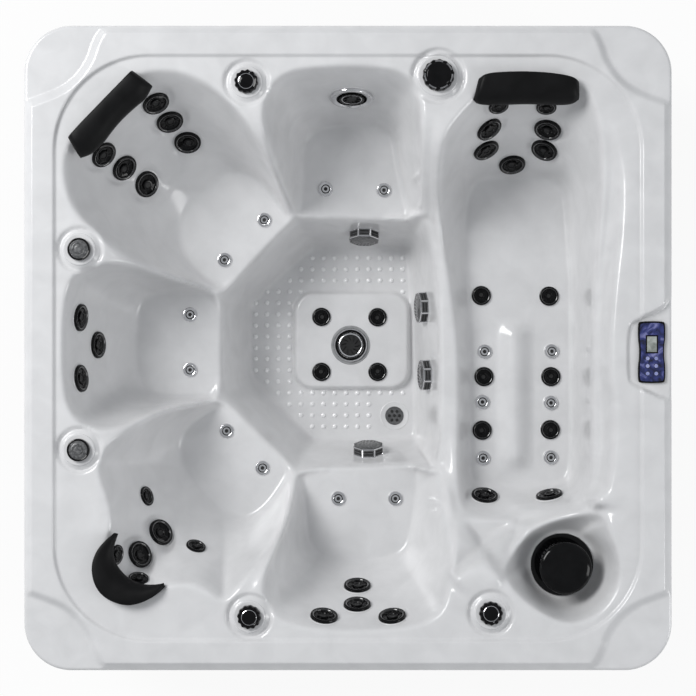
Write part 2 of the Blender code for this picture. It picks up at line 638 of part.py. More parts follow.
def basin_height(points):
    """Height of the pockets and ridges at each point, between the raster's four nearest values."""
    place_x = (points[:, 0] - RASTER_X[0]) / RASTER_STEP
    place_y = (points[:, 1] - RASTER_Y[0]) / RASTER_STEP
    low_x = np.clip(place_x.astype(int), 0, len(RASTER_X) - 2)
    low_y = np.clip(place_y.astype(int), 0, len(RASTER_Y) - 2)
    share_x = place_x - low_x
    share_y = place_y - low_y
    near = RASTER[low_x, low_y] * (1 - share_x) + RASTER[low_x + 1, low_y] * share_x
    far = RASTER[low_x, low_y + 1] * (1 - share_x) + RASTER[low_x + 1, low_y + 1] * share_x
    return near * (1 - share_y) + far * share_y


def rim_rise(points):
    """Raised bands, corner pads, panel notch and rounded lip."""
    edge = -rounded_box(points, HALF_WIDTH, HALF_LENGTH, CORNER_RADIUS)
    ledge = rounded_box(points, HALF_WIDTH - RIM_WIDTH, HALF_LENGTH - RIM_WIDTH, LEDGE_RADIUS)
    band = smooth_step((edge - LIP_WIDTH) / BAND_EDGE) * smooth_step(ledge / BAND_EDGE)
    pad_line = placed(PAD_EDGE_SHARES)
    folded = np.abs(points)
    pad_gap, _ = nearest(folded, pad_line)
    pad = smooth_step(0.5 + np.where(inside(folded, pad_line), pad_gap, -pad_gap) / PAD_EDGE)
    notch_line = placed(NOTCH_EDGE_SHARES)
    notch_gap, _ = nearest(points, notch_line)
    notch = smooth_step(0.5 + np.where(inside(points, notch_line), notch_gap, -notch_gap) / NOTCH_EDGE)
    rim_ring = smooth_step(ledge / BAND_EDGE)
    rise = BAND_RISE * band * (1 - pad) * (1 - notch)
    rise -= PAD_DROP * pad * rim_ring * (1 - notch)
    rise -= NOTCH_DROP * notch
    near_edge = np.clip(1 - edge / LIP_ROUND, 0, 1)
    return rise - LIP_ROUND * (1 - np.sqrt(1 - near_edge * near_edge))


def footwell_rise(points):
    """Raised platform in the footwell and the ridge between the lounger's leg troughs."""
    middle = placed((PLATFORM_SHARES,))[0][:2]
    gap = -rounded_box(points - middle, PLATFORM_WIDTH / 2, PLATFORM_LENGTH / 2, PLATFORM_RADIUS)
    platform = PLATFORM_RISE * smooth_step(0.5 + gap / PLATFORM_EDGE)
    across, back, front = LOUNGE_RIDGE_SHARES
    from_ridge = np.abs(points[:, 0] - across * HALF_WIDTH)
    length_middle = (back + front) / 2 * HALF_LENGTH
    half_length = (back - front) / 2 * HALF_LENGTH
    from_end = half_length - np.abs(points[:, 1] - length_middle)
    ridge = smooth_step(1 - from_ridge / LOUNGE_RIDGE_WIDTH) * smooth_step(from_end / LOUNGE_RIDGE_WIDTH)
    return platform + LOUNGE_RIDGE_RISE * ridge


def shell_height(points):
    return basin_height(points) + rim_rise(points) + footwell_rise(points)


# Mesh helpers

def material(name, colour, roughness, metallic=0.0):
    found = bpy.data.materials.new(name)
    found.use_nodes = True
    shader = found.node_tree.nodes["Principled BSDF"]
    shader.inputs["Base Color"].default_value = (*colour, 1.0)
    shader.inputs["Roughness"].default_value = roughness
    shader.inputs["Metallic"].default_value = metallic
    return found


def add_object(name, mesh, finish):
    thing = bpy.data.objects.new(name, mesh)
    bpy.context.scene.collection.objects.link(thing)
    mesh.materials.append(finish)
    mesh.shade_smooth()
    mesh.set_sharp_from_angle(angle=SHARP_ANGLE)
    return thing


def as_mesh(name, vertices, faces):
    """A mesh whose faces point outwards."""
    mesh = bpy.data.meshes.new(name)
    mesh.from_pydata([tuple(v) for v in vertices], [], faces)
    work = bmesh.new()
    work.from_mesh(mesh)
    bmesh.ops.recalc_face_normals(work, faces=work.faces)
    work.to_mesh(mesh)
    work.free()
    return mesh


def joined(name, meshes):
    """Several closed shapes, clear of each other, in one mesh."""
    vertices, faces = [], []
    for mesh in meshes:
        start = len(vertices)
        vertices += [tuple(v.co) for v in mesh.vertices]
        faces += [tuple(start + k for k in face.vertices) for face in mesh.polygons]
        bpy.data.meshes.remove(mesh)
    return as_mesh(name, vertices, faces)


def helper(mesh):
    thing = bpy.data.objects.new(mesh.name, mesh)
    bpy.context.scene.collection.objects.link(thing)
    thing.hide_render = True
    thing.display_type = "WIRE"
    return thing


def combine(thing, mesh, operation):
    step = thing.modifiers.new(operation.title(), "BOOLEAN")
    step.operation = operation
    step.object = helper(mesh)
    return thing


def turned(name, profile, sides, place=None):
    """A shape turned round Z from (radius, height) points; a profile that leaves the axis is a ring."""
    vertices, rings = [], []
    for radius, height in profile:
        count = sides if radius > 0 else 1
        rings.append(range(len(vertices), len(vertices) + count))
        for k in range(count):
            turn = 2 * math.pi * (k + 0.5) / sides
            vertices.append(Vector((radius * math.cos(turn), radius * math.sin(turn), height)))
    pairs = list(zip(rings, rings[1:]))
    if profile[0][0] > 0:
        pairs.append((rings[-1], rings[0]))
    faces = []
    for upper, lower in pairs:
        for k in range(sides):
            following = (k + 1) % sides
            corners = (
                upper[k % len(upper)], upper[following % len(upper)],
                lower[following % len(lower)], lower[k % len(lower)],
            )
            faces.append(tuple(dict.fromkeys(corners)))
    if place:
        vertices = [place @ v for v in vertices]
    return as_mesh(name, vertices, faces)


def prism(name, outline, low, high, place=None):
    """An outline in plan carried from low to high."""
    count = len(outline)
    vertices = [Vector((x, y, low)) for x, y in outline] + [Vector((x, y, high)) for x, y in outline]
    faces = [tuple(range(count)), tuple(range(count, 2 * count))]
    faces += [(k, (k + 1) % count, count + (k + 1) % count, count + k) for k in range(count)]
    if place:
        vertices = [place @ v for v in vertices]
    return as_mesh(name, vertices, faces)


def ring_prism(name, outer, inner, low, high):
    """The wall between two outlines of as many points."""
    count = len(outer)
    loops = [(outer, low), (outer, high), (inner, high), (inner, low)]
    vertices = [(x, y, z) for outline, z in loops for x, y in outline]
    faces = []
    for loop in range(len(loops)):
        after = (loop + 1) % len(loops)
        for k in range(count):
            following = (k + 1) % count
            faces.append((
                loop * count + k, loop * count + following,
                after * count + following, after * count + k,
            ))
    return as_mesh(name, vertices, faces)


def box(name, low, high):
    outline = ((low[0], low[1]), (high[0], low[1]), (high[0], high[1]), (low[0], high[1]))
    return prism(name, outline, low[2], high[2])


def rounded_outline(half_x, half_y, radius, parts):
    points = []
    for quarter, (sign_x, sign_y) in enumerate(((1, 1), (-1, 1), (-1, -1), (1, -1))):
        for part in range(parts + 1):
            turn = math.pi / 2 * (quarter + part / parts)
            points.append((
                sign_x * (half_x - radius) + radius * math.cos(turn),
                sign_y * (half_y - radius) + radius * math.sin(turn),
            ))
    return points


def circle(radius, sides):
    turns = [2 * math.pi * k / sides for k in range(sides)]
    return [(radius * math.cos(t), radius * math.sin(t)) for t in turns]


def fluted(radius, depth, flutes):
    """A round outline with finger grips."""
    points = []
    for k in range(2 * flutes):
        reach = radius - depth * (k % 2)
        turn = math.pi * k / flutes
        points.append((reach * math.cos(turn), reach * math.sin(turn)))
    return points


def tube(name, start, end, radius, sides):
    along = end - start
    turn = along.to_track_quat("Z", "Y").to_matrix().to_4x4()
    return prism(name, circle(radius, sides), 0, along.length, Matrix.Translation(start) @ turn)


def swept(name, route, radius, sides):
    """A pipe along straight runs, its rings turned halfway at each bend."""
    rings = []
    for k, point in enumerate(route):
        into = (point - route[k - 1]).normalized() if k else (route[1] - point).normalized()
        out = (route[k + 1] - point).normalized() if k + 1 < len(route) else into
        facing = (into + out).normalized()
        side = Vector((1, 0, 0)) if abs(facing.x) < FLAT_NORMAL else Vector((0, 1, 0))
        across = side.cross(facing).normalized()
        stretch = 1 / max(facing.dot(into), MITRE_LIMIT)
        ring = []
        for n in range(sides):
            turn = 2 * math.pi * n / sides
            ring.append(point + side * radius * math.cos(turn) + across * radius * stretch * math.sin(turn))
        rings.append(ring)
    vertices = [corner for ring in rings for corner in ring]
    last = len(vertices) - sides
    faces = [tuple(range(sides)), tuple(range(last, last + sides))]
    for k in range(len(rings) - 1):
        for n in range(sides):
            following = (n + 1) % sides
            faces.append((
                k * sides + n, k * sides + following,
                (k + 1) * sides + following, (k + 1) * sides + n,
            ))
    return as_mesh(name, vertices, faces)


def ball(radius):
    turns = [math.pi * k / BALL_RINGS for k in range(BALL_RINGS)]
    return [(radius * math.sin(turn), radius * math.cos(turn)) for turn in turns] + [(0, -radius)]


def lofted(name, bottom, top, low, high):
    """An upright wall to half height, then a taper to the top outline."""
    count = len(bottom)
    middle = (low + high) / 2
    loops = [(bottom, low), (bottom, middle), (top, high)]
    vertices = [(x, y, z) for outline, z in loops for x, y in outline]
    faces = [tuple(range(count)), tuple(range(2 * count, 3 * count))]
    for loop in range(2):
        for k in range(count):
            following = (k + 1) % count
            faces.append((
                loop * count + k, loop * count + following,
                (loop + 1) * count + following, (loop + 1) * count + k,
            ))
    return as_mesh(name, vertices, faces)


# Places on the shell

def surface_place(shares, sink=0.0):
    """Where a fitting sits: its origin on the shell's surface, its Z away from the shell."""
    u, v = shares
    point = np.array([[u * HALF_WIDTH, v * HALF_LENGTH]])
    step_x, step_y = np.array([[SLOPE_REACH, 0]]), np.array([[0, SLOPE_REACH]])
    slope_x = (shell_height(point + step_x) - shell_height(point - step_x))[0] / (2 * SLOPE_REACH)
    slope_y = (shell_height(point + step_y) - shell_height(point - step_y))[0] / (2 * SLOPE_REACH)
    normal = Vector((-slope_x, -slope_y, 1)).normalized()
    origin = Vector((point[0][0], point[0][1], shell_height(point)[0])) - normal * sink
    return Matrix.Translation(origin) @ normal.to_track_quat("Z", "Y").to_matrix().to_4x4()


def fitting_place(kind, shares):
    """A fitting's seat, sunk below the surface."""
    return surface_place(shares, FITTINGS[kind]["seat"])


def fitting_cutter(kind, shares):
    """The counterbore and the hole through the shell for one fitting."""
    sizes = FITTINGS[kind]
    wide, narrow = sizes["flange"] + SEAT_GAP, sizes["body"] + FIT
    profile = [(0, CUT_REACH), (narrow, CUT_REACH), (narrow, -CUT_REACH), (0, -CUT_REACH)]
    if sizes["body"] < sizes["flange"]:
        profile[1:2] = [(wide, CUT_REACH), (wide, -FIT), (narrow, -FIT)]
    return turned("hole", profile, sizes["sides"], fitting_place(kind, shares))


# Shell

def edge_share(points):
    """How far a point moves in so that the square's border takes the rounded corner, as a share."""
    folded = np.abs(points)
    reach = np.max(folded / (HALF_WIDTH, HALF_LENGTH), axis=1)
    border = folded / np.maximum(reach, TINY)[:, None]
    centre = np.array([HALF_WIDTH - CORNER_RADIUS, HALF_LENGTH - CORNER_RADIUS])
    toward = border @ centre
    square = (border * border).sum(axis=1)
    inner = np.maximum(toward * toward - square * (centre @ centre - CORNER_RADIUS ** 2), 0)
    share = np.where((border > centre).all(axis=1), (toward + np.sqrt(inner)) / square, 1)
    return 1 - (1 - share) * reach ** WARP_POWER


def shell_mesh():
    """The top surface with its lip turned down, open below."""
    xs = np.linspace(-HALF_WIDTH, HALF_WIDTH, SHELL_LINES)
    ys = np.linspace(-HALF_LENGTH, HALF_LENGTH, SHELL_LINES)
    grid_x, grid_y = np.meshgrid(xs, ys, indexing="ij")
    points = np.stack([grid_x.ravel(), grid_y.ravel()], axis=1)
    points = points * edge_share(points)[:, None]
    count = SHELL_LINES
    faces = [
        (i * count + j, (i + 1) * count + j, (i + 1) * count + j + 1, i * count + j + 1)
        for i in range(count - 1) for j in range(count - 1)
    ]
    mesh = bpy.data.meshes.new("shell")
    mesh.from_pydata([(x, y, z) for (x, y), z in zip(points, shell_height(points))], [], faces)
    work = bmesh.new()
    work.from_mesh(mesh)
    border = [edge for edge in work.edges if edge.is_boundary]
    made = bmesh.ops.extrude_edge_only(work, edges=border)
    for corner in made["geom"]:
        if isinstance(corner, bmesh.types.BMVert):
            corner.co.z = SKIRT_BOTTOM
    work.to_mesh(mesh)
    work.free()
    return mesh


def shell_cutters():
    """The counterbores and holes of everything that sits in the shell."""
    cutters = [fitting_cutter(kind, (u, v)) for jets in JETS.values() for kind, u, v in jets]
    cutters += [fitting_cutter("suction", shares) for shares in SUCTION_SHARES.values()]
    cutters += [fitting_cutter("air", shares) for shares in AIR_VALVE_SHARES]
    cutters.append(fitting_cutter("diverter", DIVERTER_SHARES))
    cutters.append(fitting_cutter("blaster", BLASTER_SHARES))
    cutters.append(fitting_cutter("drain", DRAIN_SHARES))
    cutters.append(fitting_cutter("weir", FILTER_SHARES))
    for name in PILLOWS:
        for peg in pillow_pegs(name):
            reach = Vector((0, 0, CUT_REACH))
            cutters.append(tube("peg_hole", peg - reach, peg + reach, PEG_RADIUS + FIT, PIPE_SIDES))
    corners = post_places()[0]
    top = seat_height()
    cutters += [post_box(place, RAIL_SIZE / 2, top - CUT_REACH, top) for place in corners]
    return joined("holes", cutters)


def panel_cutter():
    place = panel_place()
    seat = prism("seat", panel_outline(SEAT_GAP), -FIT, CUT_REACH, place)
    hole = box_at(place, housing_size(FIT), (HOUSING_SHIFT, 0), -CUT_REACH, CUT_REACH)
    return seat, hole


def make_shell(finish):
    thing = add_object("shell", shell_mesh(), finish)
    thin = thing.modifiers.new("Thin", "DECIMATE")
    thin.ratio = SHELL_FACES / (2 * len(thing.data.polygons))
    wall = thing.modifiers.new("Wall", "SOLIDIFY")
    wall.thickness = SHELL_WALL
    wall.offset = -1
    combine(thing, shell_cutters(), "DIFFERENCE")
    seat, hole = panel_cutter()
    combine(thing, seat, "DIFFERENCE")
    combine(thing, hole, "DIFFERENCE")
    return thing


# Jets

def jet_mesh(kind, shares):
    """Dished face on the body that goes through the shell."""
    sizes = FITTINGS[kind]
    flange, thick, body = sizes["flange"], sizes["thick"], sizes["body"]
    profile = [(0, thick * DISH_SHARE), (flange * FACE_SHARE, thick), (flange, thick * BEVEL_SHARE)]
    if kind == "injector":
        profile = [(0, thick), (flange, thick * BEVEL_SHARE)]
    if body < flange:
        profile += [(flange, 0), (body, 0)]
    profile += [(body, -BODY_LENGTH), (0, -BODY_LENGTH)]
    return turned("jet", profile, sizes["sides"], fitting_place(kind, shares))


def socket_mesh(kind, socket, shares):
    """A ring-shaped flange whose socket and pin hole take a turning nozzle."""
    sizes = FITTINGS[kind]
    flange, thick, body = sizes["flange"], sizes["thick"], sizes["body"]
    hole, hole_floor = NOZZLE_PIN_RADIUS + FIT, SOCKET_FLOOR - NOZZLE_PIN_REACH - FIT
    profile = (
        (0, hole_floor), (hole, hole_floor), (hole, SOCKET_FLOOR), (socket, SOCKET_FLOOR),
        (socket, thick), (flange, thick * BEVEL_SHARE), (flange, 0), (body, 0),
        (body, -BODY_LENGTH), (0, -BODY_LENGTH),
    )
    return turned("socket", profile, sizes["sides"], fitting_place(kind, shares))


def make_nozzle(name, kind, radius, shares, finish):
    """Turning nozzle with notches in its edge, on its pin; its origin is on its axis."""
    floor = SOCKET_FLOOR + FIT
    outline = fluted(radius, FLUTE_DEPTH, NOZZLE_SIDES // 2)
    thing = add_object(name, prism(name, outline, floor, floor + NOZZLE_HEIGHT), finish)
    foot = Vector((0, 0, SOCKET_FLOOR - NOZZLE_PIN_REACH))
    pin = tube("pin", foot, Vector((0, 0, floor + NOZZLE_HEIGHT / 2)),
               NOZZLE_PIN_RADIUS, PIN_SIDES)
    combine(thing, pin, "UNION").modifiers[-1].object.parent = thing
    thing.matrix_world = fitting_place(kind, shares)
    return thing


def make_jets(name, finish):
    """One group of jets and the pipes that feed them behind the shell."""
    bodies, stops = [], []
    for kind, u, v in JETS[name]:
        if kind == "wide":
            bodies.append(socket_mesh(kind, WIDE_SOCKET_RADIUS, (u, v)))
        else:
            bodies.append(jet_mesh(kind, (u, v)))
        place = fitting_place(kind, (u, v))
        stops.append((place @ Vector((0, 0, PIPE_RADIUS - BODY_LENGTH)), place.col[2].z > FLAT_NORMAL))
    route = [stops[0][0]]
    for (last, last_flat), (end, end_flat) in zip(stops, stops[1:]):
        if last_flat != end_flat:
            upper, lower = (end, last) if last_flat else (last, end)
            elbow = Vector((upper.x, upper.y, lower.z))
            route.append(elbow)
            bodies.append(turned("elbow", ball(ELBOW_RADIUS), ELBOW_SIDES, Matrix.Translation(elbow)))
        route.append(end)
    pipes = [tube("pipe", a, b, PIPE_RADIUS, PIPE_SIDES) for a, b in zip(route, route[1:])]
    thing = add_object(name, joined(name, bodies), finish)
    combine(thing, joined("pipes", pipes[0::2]), "UNION")
    combine(thing, joined("pipes", pipes[1::2]), "UNION")
    return thing


def make_suction(name, finish):
    """Eight-sided cover on the footwell wall with its fitting behind."""
    return add_object(name, jet_mesh("suction", SUCTION_SHARES[name]), finish)


def make_drain(finish):
    sizes = FITTINGS["drain"]
    profile = (
        (0, sizes["thick"]), (sizes["flange"] * FACE_SHARE, sizes["thick"]), (sizes["flange"], 0),
        (sizes["body"], 0), (sizes["body"], -DRAIN_BODY_LENGTH), (0, -DRAIN_BODY_LENGTH),
    )
    mesh = turned("drain_grate", profile, sizes["sides"], fitting_place("drain", DRAIN_SHARES))
    return add_object("drain_grate", mesh, finish)


# Valves

def make_valve(name, kind, shares, finish):
    """Bezel on the ledge, body below it and the spindle that carries the knob."""
    sizes = FITTINGS[kind]
    flange, thick, body = sizes["flange"], sizes["thick"], sizes["body"]
    profile = (
        (0, thick + SPINDLE_REACH), (SPINDLE_RADIUS, thick + SPINDLE_REACH), (SPINDLE_RADIUS, thick),
        (flange * FACE_SHARE, thick), (flange, 0), (body, 0),
        (body, -VALVE_BODY_LENGTH), (0, -VALVE_BODY_LENGTH),
    )
    return add_object(name, turned(name, profile, sizes["sides"], fitting_place(kind, shares)), finish)


def make_knob(name, kind, radius, height, flutes, shares, finish):
    """Fluted knob with a blind bore on its spindle; its origin is on its axis."""
    low = FITTINGS[kind]["thick"] + FIT
    top = [(x * KNOB_TOP_SHARE, y * KNOB_TOP_SHARE) for x, y in fluted(radius, FLUTE_DEPTH, flutes)]
    bottom = fluted(radius, FLUTE_DEPTH, flutes)
    thing = add_object(name, lofted(name, bottom, top, low, low + height), finish)
    bore_top = FITTINGS[kind]["thick"] + SPINDLE_REACH + FIT
    play = SPINDLE_RADIUS * SPINDLE_PLAY
    bore = tube("bore", Vector((0, 0, 0)), Vector((0, 0, bore_top)), play, BORE_SIDES)
    combine(thing, bore, "DIFFERENCE").modifiers[-1].object.parent = thing
    thing.matrix_world = fitting_place(kind, shares)
    return thing


# Filter

def well_seat():
    return fitting_place("weir", FILTER_SHARES)


def make_canister(finish):
    """Open cup below the well, hung by its rim under the weir's flange."""
    outer = FITTINGS["weir"]["body"]
    inner = outer - CANISTER_WALL
    wide = FITTINGS["weir"]["flange"] - SEAT_GAP
    floor = CANISTER_WALL - CANISTER_DEPTH
    profile = (
        (0, -CANISTER_DEPTH), (outer, -CANISTER_DEPTH), (outer, 0), (wide, 0), (wide, CANISTER_WALL),
        (inner, CANISTER_WALL), (inner, floor), (0, floor),
    )
    mesh = turned("filter_canister", profile, FITTINGS["weir"]["sides"], well_seat())
    return add_object("filter_canister", mesh, finish)


def make_cartridge(finish):
    low = CANISTER_WALL - CANISTER_DEPTH + FIT
    outline = fluted(CARTRIDGE_RADIUS, PLEAT_DEPTH, CARTRIDGE_PLEATS)
    mesh = prism("filter_cartridge", outline, low, low + CARTRIDGE_HEIGHT, well_seat())
    return add_object("filter_cartridge", mesh, finish)


def ring_profile(outer, inner, low, high):
    return ((outer, high), (outer, low), (inner, low), (inner, high))


def make_weir(finish):
    """Flange, ribs and top ring of the skimmer cage."""
    sides = FITTINGS["weir"]["sides"]
    flange = FITTINGS["weir"]["flange"] - SEAT_GAP
    thick = FITTINGS["weir"]["thick"]
    low = CANISTER_WALL + FIT
    inner = CAGE_RADIUS - CAGE_WALL
    place = well_seat()
    top = ring_profile(CAGE_RADIUS, inner, CAGE_HEIGHT - CAGE_RING, CAGE_HEIGHT)
    rings = [
        turned("ring", ring_profile(flange, inner, low, low + thick), sides, place),
        turned("ring", top, sides, place),
    ]
    ribs = []
    halves = (CAGE_WALL / 2 - RIB_SINK, RIB_WIDTH / 2)
    for k in range(CAGE_RIBS):
        spin = place @ Matrix.Rotation(2 * math.pi * (k + 0.5) / CAGE_RIBS, 4, "Z")
        shift = (CAGE_RADIUS - CAGE_WALL / 2, 0)
        ribs.append(box_at(spin, halves, shift, low + RIB_SINK, CAGE_HEIGHT - RIB_SINK))
    thing = add_object("filter_weir", joined("filter_weir", rings), finish)
    return combine(thing, joined("ribs", ribs), "UNION")


def make_lid(finish):
    """Smooth lid whose spigot drops into the cage's top ring; it lifts straight off."""
    spigot = CAGE_RADIUS - CAGE_WALL - LID_SPIGOT_GAP
    profile = (
        (0, LID_HEIGHT), (LID_RADIUS * FACE_SHARE, LID_HEIGHT * KNOB_TOP_SHARE),
        (LID_RADIUS, LID_HEIGHT * LID_EDGE_SHARE), (LID_RADIUS, 0), (spigot, 0),
        (spigot, -LID_SPIGOT_DEPTH), (0, -LID_SPIGOT_DEPTH),
    )
    thing = add_object("filter_lid", turned("filter_lid", profile, FITTINGS["weir"]["sides"]), finish)
    thing.matrix_world = well_seat() @ Matrix.Translation((0, 0, CAGE_HEIGHT + FIT))
    return thing


# Control panel

def panel_place():
    return surface_place(PANEL_SHARES, PANEL_SEAT)


def panel_outline(gap=0.0):
    """Waisted plate with cut corners."""
    half, waist, end = PANEL_WIDTH / 2 + gap, PANEL_WAIST / 2 + gap, PANEL_LENGTH / 2 + gap
    cut = PANEL_CORNER
    side = ((half - cut, -end), (half, cut - end), (waist, 0), (half, end - cut), (half - cut, end))
    return list(side) + [(-x, -y) for x, y in side]


def housing_size(gap=0.0):
    return HOUSING_WIDTH / 2 + gap, HOUSING_LENGTH / 2 + gap


def box_at(place, halves, shift, low, high):
    outline = [
        (shift[0] + x * halves[0], shift[1] + y * halves[1])
        for x, y in ((-1, -1), (1, -1), (1, 1), (-1, 1))
    ]
    return prism("box", outline, low, high, place)


def button_places():
    places = []
    for row in range(BUTTON_ROWS):
        for side in (-1, 1):
            places.append((side * BUTTON_SPREAD / 2, BUTTON_FIRST - row * BUTTON_PITCH))
    return places


def make_control_panel(finish):
    place = panel_place()
    plate = prism("control_panel", panel_outline(), 0, PANEL_HEIGHT, place)
    thing = add_object("control_panel", plate, finish)
    housing = box_at(place, housing_size(), (HOUSING_SHIFT, 0), -HOUSING_DEPTH, PANEL_HEIGHT / 2)
    combine(thing, housing, "UNION")
    window = (WINDOW_WIDTH / 2 + FIT, WINDOW_LENGTH / 2 + FIT)
    floor = PANEL_HEIGHT - WINDOW_THICK - FIT
    cuts = [box_at(place, window, (0, WINDOW_SHIFT), floor, CUT_REACH)]
    for x, y in button_places():
        spot = place @ Matrix.Translation((x, y, PANEL_HEIGHT - BUTTON_POCKET))
        cuts.append(prism("pocket", circle(BUTTON_RADIUS + BUTTON_GAP, BUTTON_SIDES), 0, CUT_REACH, spot))
    return combine(thing, joined("pockets", cuts), "DIFFERENCE")


def make_window(finish):
    mesh = box_at(panel_place(), (WINDOW_WIDTH / 2, WINDOW_LENGTH / 2), (0, WINDOW_SHIFT),
                  PANEL_HEIGHT - WINDOW_THICK, PANEL_HEIGHT + FIT)
    return add_object("display_window", mesh, finish)


def make_button(number, shift, finish):
    """Push button standing in its pocket; its origin is on its line of travel."""
    name = f"button_{number}"
    low = BUTTON_TRAVEL + FIT
    mesh = prism(name, circle(BUTTON_RADIUS, BUTTON_SIDES), low, BUTTON_POCKET + BUTTON_RISE)
    thing = add_object(name, mesh, finish)
    thing.matrix_world = panel_place() @ Matrix.Translation((*shift, PANEL_HEIGHT - BUTTON_POCKET))
    return thing


# Pillows

def pillow_line(name):
    """Stations along the pillow's middle: a point and the level direction across it, towards the seat."""
    first, middle, last = [row * (1, 1, 0) for row in placed(PILLOWS[name]["line"])]
    control = 2 * middle - (first + last) / 2
    stations = []
    for k in range(PILLOW_STATIONS):
        share = k / (PILLOW_STATIONS - 1)
        point = first * (1 - share) ** 2 + control * 2 * share * (1 - share) + last * share ** 2
        along = 2 * (1 - share) * (control - first) + 2 * share * (last - control)
        along /= np.linalg.norm(along)
        across = np.array([along[1], -along[0], 0])
        if across @ point > 0:
            across = -across
        stations.append((share, point, across))
    return stations


def pillow_width(name, share):
    """Half width at a station; the ends are rounded off."""
    sizes = PILLOWS[name]
    from_middle = abs(2 * share - 1) * END_SHARE
    return sizes["width"] / 2 * math.sqrt(1 - from_middle ** sizes["taper"])


def pillow_section(half, thick, droop):
    """Points round the cushion's section: across towards the seat, and up."""
    return [(across * half, up * thick - drop * droop) for across, up, drop in PILLOW_SECTION_SHARES]


def pillow_mesh(name):
    sizes = PILLOWS[name]
    level = DECK + PILLOW_LIFT
    vertices = []
    stations = pillow_line(name)
    for share, point, across in stations:
        half = pillow_width(name, share)
        swell = half / (sizes["width"] / 2)
        for side, up in pillow_section(half, PILLOW_THICK * math.sqrt(swell), sizes["droop"] * swell):
            corner = point + across * side
            under = shell_height(corner[None, :2])[0]
            resting = level if under > DECK - PILLOW_LIFT else under + PILLOW_CLEARANCE
            vertices.append((corner[0], corner[1], max(level + up, resting)))
    count = len(vertices) // len(stations)
    last = len(vertices) - count
    faces = [tuple(range(count)), tuple(range(last, last + count))]
    for k in range(len(stations) - 1):
        for n in range(count):
            following = (n + 1) % count
            faces.append((
                k * count + n, k * count + following,
                (k + 1) * count + following, (k + 1) * count + n,
            ))
    return as_mesh(name, vertices, faces)


def pillow_pegs(name):
    """Tops of the two pegs that hold the pillow in the ledge."""
    stations = pillow_line(name)
    middle = len(stations) // 2
    reach = round(middle * PEG_STATION_SHARE)
    pegs = []
    for index in (middle - reach, middle + reach):
        share, point, across = stations[index]
        outer = point - across * (pillow_width(name, share) - PEG_EDGE)
        pegs.append(Vector((outer[0], outer[1], DECK)))
    return pegs


def make_pillow(name, finish):
    thing = add_object(name, pillow_mesh(name), finish)
    pegs = []
    for peg in pillow_pegs(name):
        low, high = peg - Vector((0, 0, PEG_REACH)), peg + Vector((0, 0, PEG_SINK))
        pegs.append(tube("peg", low, high, PEG_RADIUS, PIPE_SIDES))
    return combine(thing, joined("pegs", pegs), "UNION")


# Cabinet

def cabinet_half(inset):
    return HALF_WIDTH - SHELL_WALL - PANEL_INSET - inset, HALF_LENGTH - SHELL_WALL - PANEL_INSET - inset


def cabinet_outline(inset):
    half_x, half_y = cabinet_half(inset)
    radius = CORNER_RADIUS - SHELL_WALL - PANEL_INSET - inset
    return rounded_outline(half_x, half_y, radius, CORNER_PARTS)


def make_base_pan(finish):
    return add_object("base_pan", prism("base_pan", cabinet_outline(0), 0, PAN_THICK), finish)


def post_places():
    """Middle of each post in plan: one at each corner, then one in the middle of each side."""
    half_x, half_y = cabinet_half(SIDING_THICK + RAIL_SIZE / 2)
    radius = CORNER_RADIUS - SHELL_WALL - PANEL_INSET - SIDING_THICK - RAIL_SIZE / 2
    drawn_in = radius * (1 - math.sqrt(0.5))
    corners = [(x * (half_x - drawn_in), y * (half_y - drawn_in)) for x in (-1, 1) for y in (-1, 1)]
    return corners, [(x * half_x, y * half_y) for x, y in POST_SHARES]


def post_box(place, half, low, high):
    x, y = place
    return box("post", (x - half, y - half, low), (x + half, y + half, high))


def seat_height():
    """Flat seats under the rim's corner pads, where the shell stands on the corner posts."""
    return DECK - PAD_DROP - SHELL_WALL + POST_SEAT


def make_frame(finish):
    """Two rails round the cabinet and the posts between them, welded together."""
    outer, inner = cabinet_outline(SIDING_THICK + FIT), cabinet_outline(SIDING_THICK + RAIL_SIZE)
    low = PAN_THICK + FIT
    high = DECK - NOTCH_DROP - SHELL_WALL - RAIL_CLEARANCE
    rails = [
        ring_prism("rail", outer, inner, low, low + RAIL_HEIGHT),
        ring_prism("rail", outer, inner, high - RAIL_HEIGHT, high),
    ]
    half = RAIL_SIZE / 2 - POST_SINK
    corners, sides = post_places()
    posts = [post_box(place, half, low + POST_SINK, seat_height() - FIT) for place in corners]
    posts += [post_box(place, half, low + POST_SINK, high - POST_SINK) for place in sides]
    thing = add_object("frame", joined("frame", rails), finish)
    return combine(thing, joined("posts", posts), "UNION")


def siding_outline():
    """Section of the siding: boards with grooves between them, as (out, up)."""
    low, high = PAN_THICK + FIT, SKIRT_BOTTOM + SIDING_TUCK
    pitch = (high - low) / SIDING_BOARDS
    points = [(-SIDING_THICK, low), (-SIDING_THICK, high)]
    for board in range(SIDING_BOARDS, 0, -1):
        top, bottom = low + board * pitch, low + (board - 1) * pitch
        points.append((0, top if board == SIDING_BOARDS else top - SIDING_GROOVE))
        points.append((0, bottom + SIDING_GROOVE if board > 1 else bottom))
        if board > 1:
            points.append((-SIDING_GROOVE, bottom))
    return points


def make_siding(name, turns, half_out, half_along, finish):
    """One grooved side panel, built facing +X and turned to its side."""
    reach = half_along - COVER_GAP
    spin = Matrix.Rotation(turns * math.pi / 2, 4, "Z")
    section = siding_outline()
    count = len(section)
    vertices = [spin @ Vector((half_out + out, end, up)) for end in (-reach, reach) for out, up in section]
    faces = [tuple(range(count)), tuple(range(count, 2 * count))]
    faces += [(k, (k + 1) % count, count + (k + 1) % count, count + k) for k in range(count)]
    return add_object(name, as_mesh(name, vertices, faces), finish)


